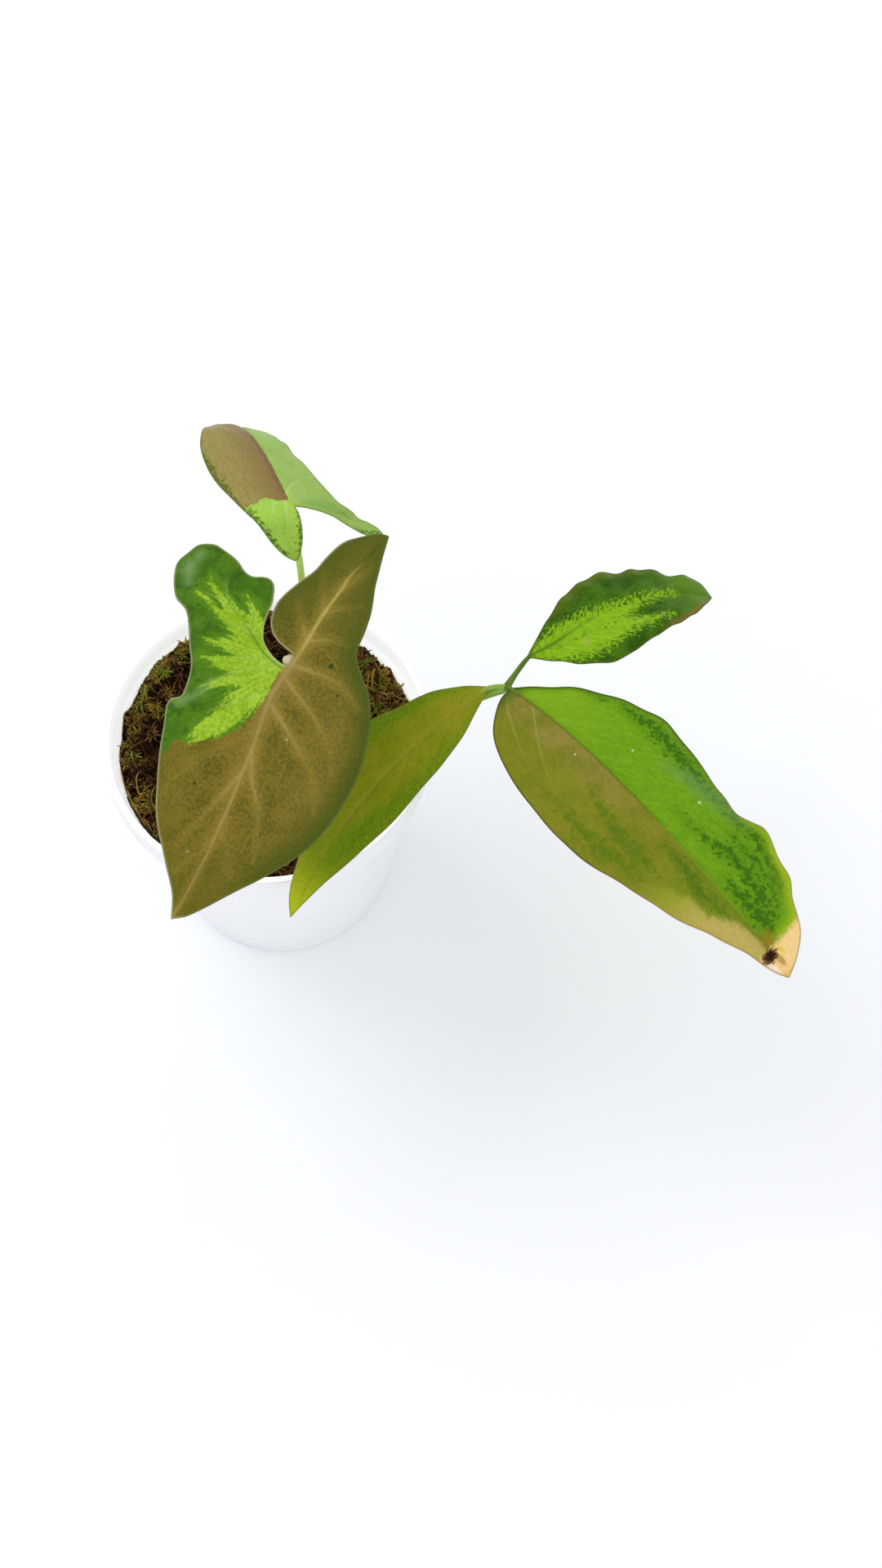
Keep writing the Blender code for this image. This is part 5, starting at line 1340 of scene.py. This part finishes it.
def build_tufts(finish, draw):
    """Small star tufts of pointed leaves: each leaf is a thin spike that leans out and droops."""
    edge = pot_inner_radius(MOSS_EDGE_HEIGHT) - 2.5
    turn = draw.uniform(0.0, 2.0 * math.pi, TUFTS)
    radius = edge * np.sqrt(draw.uniform(0.1, 1.0, TUFTS))
    x, y = push_clear(radius * np.cos(turn), radius * np.sin(turn), edge)
    angle = (full_turn(TUFT_LEAVES) + draw.uniform(0.0, 6.3, TUFTS)[:, None]
             + draw.normal(0.0, 0.2, (TUFTS, TUFT_LEAVES)))
    length = draw.uniform(*TUFT_LENGTH, (TUFTS, TUFT_LEAVES, 1))
    share = np.linspace(0.0, 1.0, len(TUFT_RADII))
    base = moss_height(x, y) + draw.uniform(-0.2, 0.9, TUFTS)
    height = base[:, None, None] + length * (0.9 * share - 0.55 * share ** 2)
    paths = around(length * np.sin(1.15 * share), angle[..., None], height)
    paths = (paths + np.stack([x, y, 0.0 * x], -1)[:, None, None]).reshape(-1, len(share), 3)
    radii = np.tile(TUFT_RADII, (len(paths), 1))
    points, faces = many_tubes(paths, radii, TUFT_SIDES)
    piece = new_piece("moss_tufts", points, faces, finish)
    tone = np.minimum(strand_tone(draw, np.stack([x, y], -1)) * 1.1 + 0.08, 1.0)
    add_vectors(piece, "moss_tone", np.repeat(tone, len(points) // TUFTS),
                np.tile(np.repeat(share, TUFT_SIDES), len(paths)))
    finish_piece(piece, "moss_brown")


def finish_piece(piece, slot, *nodes):
    """Attach a piece to the root body and hide the imported parts that it stands in for; slot is not used.
    """
    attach(piece, "root")
    if nodes:
        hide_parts(*nodes)


def under_blade(leaf, along, across, depth):
    """Point at `depth` under a flat point of a blade."""
    pose = Pose(**leaf["pose"])
    return tuple(pose.place(along, across) - pose.normal(along, across) * depth)


def stalk_route(stalk):
    """Smooth route of a stalk from inside the crown up to its blade, or to the leaflets' hub."""
    points = list(stalk["route"])
    if "blade" in stalk:
        along, across, depth = stalk["end"]
        points += [under_blade(stalk["blade"], along, across, under) for under in (depth + 1.1, depth)]
    return even_curve(points, STALK_STEPS)


def build_stalks():
    """Slender stalks; each swells a little and rounds off where it joins its blade."""
    # Painted light: the folded leaf's stalk takes a much lighter copy of the stalk green, lightened to make
    # up for the shade that falls on it.
    lime = stalk_finish("stalk_green_painted_light", (0.54, 0.80, 0.13), (0.68, 0.92, 0.25))
    green = stalk_finish("stalk_green", (0.24, 0.42, 0.05), (0.36, 0.54, 0.09))
    tan = stalk_finish("stalk_tan", (0.62, 0.66, 0.34), (0.80, 0.62, 0.42), 0.15)
    dark = stalk_finish("stalk_dark_green", (0.085, 0.165, 0.012), (0.150, 0.240, 0.025), 0.3)
    for stalk, finish in zip(STALKS, (tan, lime, green)):
        path = stalk_route(stalk)
        run = distance_along(path)
        share = run / run[-1]
        foot, top = stalk["radii"]
        radii = foot + (top - foot) * share
        radii = radii * (1.0 + 0.18 * soft_step((share - 0.93) / 0.07))
        radii = radii * np.sqrt(1.0 - 0.95 * np.clip((run - run[-1] + 1.2) / 1.2, 0.0, 1.0) ** 2)
        piece = tube_piece(stalk["name"], path, radii, STALK_SIDES, finish, 0.14)
        finish_piece(piece, "stem_green", stalk["node"])
    for leaflet, finish in zip(LEAFLETS, (dark, dark, green)):
        build_leaflet_stalk(leaflet, finish)


def build_leaflet_stalk(leaflet, finish):
    """Short stalk from the hub that runs on under the start of a leaflet's midrib."""
    bend = leaflet["midrib"][1][1]
    under = [under_blade(leaflet, *spot)
             for spot in ((0.6, 0.0, 0.35), (3.0, bend * 0.3, 0.72), (8.0, bend * 0.7, 0.75))]
    joint = 0.45 * np.array(HUB) + 0.55 * np.array(leaflet["pose"]["junction"])
    path = even_curve([HUB, tuple(joint)] + under, SHORT_STALK_STEPS)
    share = np.linspace(0.0, 1.0, len(path))
    radii = 1.0 - 0.28 * soft_step(share / 0.3) - 0.42 * soft_step((share - 0.3) / 0.7)
    piece = tube_piece("stalk_of_" + leaflet["name"], path, radii, SHORT_STALK_SIDES, finish, 0.1)
    finish_piece(piece, "stem_green")


def build_crown():
    """Short stem with ring marks, and a sheath round the foot of each stalk."""
    finish = stalk_finish("sheath_green", (0.20, 0.30, 0.07), (0.36, 0.42, 0.14), 0.5,
                          (0.66, 0.70, 0.34), 0.8)
    height = np.linspace(CROWN_FOOT, CROWN_TOP, CROWN_STEPS)
    path = np.stack(np.broadcast_arrays(CROWN_X, CROWN_Y, height), -1)
    share = (height - CROWN_FOOT) / (CROWN_TOP - CROWN_FOOT)
    radii = CROWN_RADIUS * (0.86 + 0.14 * np.sin(math.pi * share)) - 1.6 * soft_step((share - 0.7) / 0.3)
    radii = radii + 0.18 * np.exp(-((height % 5.0 - 2.5) / 0.35) ** 2)
    finish_piece(tube_piece("short_stem", path, radii, CROWN_SIDES, finish), "stem_green", "crown")
    for stalk in STALKS:
        route = stalk_route(stalk)
        sheath = route[distance_along(route) < SHEATH_LENGTH]
        widths = stalk["radii"][0] + 1.3 - 1.15 * np.linspace(0.0, 1.0, len(sheath)) ** 1.4
        piece = tube_piece("sheath_of_" + stalk["name"], sheath, widths, SHEATH_SIDES, finish, 0.22)
        finish_piece(piece, "stem_green")


def build_leaves():
    """The two arrowhead leaves and the three leaflets."""
    skins = (arrowhead_finish, folded_finish, middle_leaflet_finish, right_leaflet_finish,
             left_leaflet_finish)
    for leaf, skin in zip((LEAF_A, LEAF_B, *LEAFLETS), skins):
        finish_piece(blade_piece(leaf, skin()), leaf["slot"], leaf["node"])


def build_studio():
    """Pale floor, white surroundings, a soft key light from the upper left, a weaker fill from the
    right, and the camera."""
    finish = Finish("studio_floor", Roughness=0.9, Specular_IOR_Level=0.1)
    tint = finish.noise(finish.place(), 0.01, 2.0)
    finish.set(Base_Color=finish.mix((0.93, 0.94, 0.965), (0.94, 0.95, 0.975), tint))
    corners = [(x * FLOOR_HALF, y * FLOOR_HALF, 0.0) for x, y in ((-1, -1), (1, -1), (1, 1), (-1, 1))]
    floor = new_piece("floor", corners, [[0, 1, 2, 3]], finish.material)
    scene = bpy.context.scene
    scene.world = bpy.data.worlds.new("studio")
    scene.world.use_nodes = True
    sky = scene.world.node_tree.nodes["Background"]
    sky.inputs["Color"].default_value = (0.98, 0.985, 1.0, 1.0)
    sky.inputs["Strength"].default_value = 0.92
    add_light("key", (-0.55, 0.35, 1.05), 0.7, 3.0, (1.0, 0.99, 0.97))
    add_light("fill", (0.8, -0.6, 0.9), 1.0, 1.6, (0.96, 0.98, 1.0))
    camera = bpy.data.cameras.new("camera")
    camera.sensor_fit = "VERTICAL"
    camera.sensor_height = 36.0
    camera.lens = 50.0
    camera.clip_end = 40.0
    scene.camera = bpy.data.objects.new("camera", camera)
    scene.camera.location = CAMERA_PLACE
    scene.camera.rotation_euler = (math.radians(CAMERA_TILT), 0.0, 0.0)
    scene.collection.objects.link(scene.camera)
    scene.view_settings.view_transform = "Standard"
    scene.view_settings.look = "None"


def add_light(name, location, size, power, color):
    """Square soft light aimed at the plant."""
    lamp = bpy.data.lights.new(name, "AREA")
    lamp.size = size
    lamp.energy = power
    lamp.color = color
    item = bpy.data.objects.new(name, lamp)
    item.location = location
    aim = unit(np.array(LIGHT_TARGET) - np.array(location))
    item.rotation_euler = (math.acos(-aim[2]), 0.0, math.atan2(aim[1], aim[0]) - math.pi / 2.0)
    bpy.context.scene.collection.objects.link(item)


build_pot()
build_moss()
build_crown()
build_stalks()
build_leaves()
build_studio()
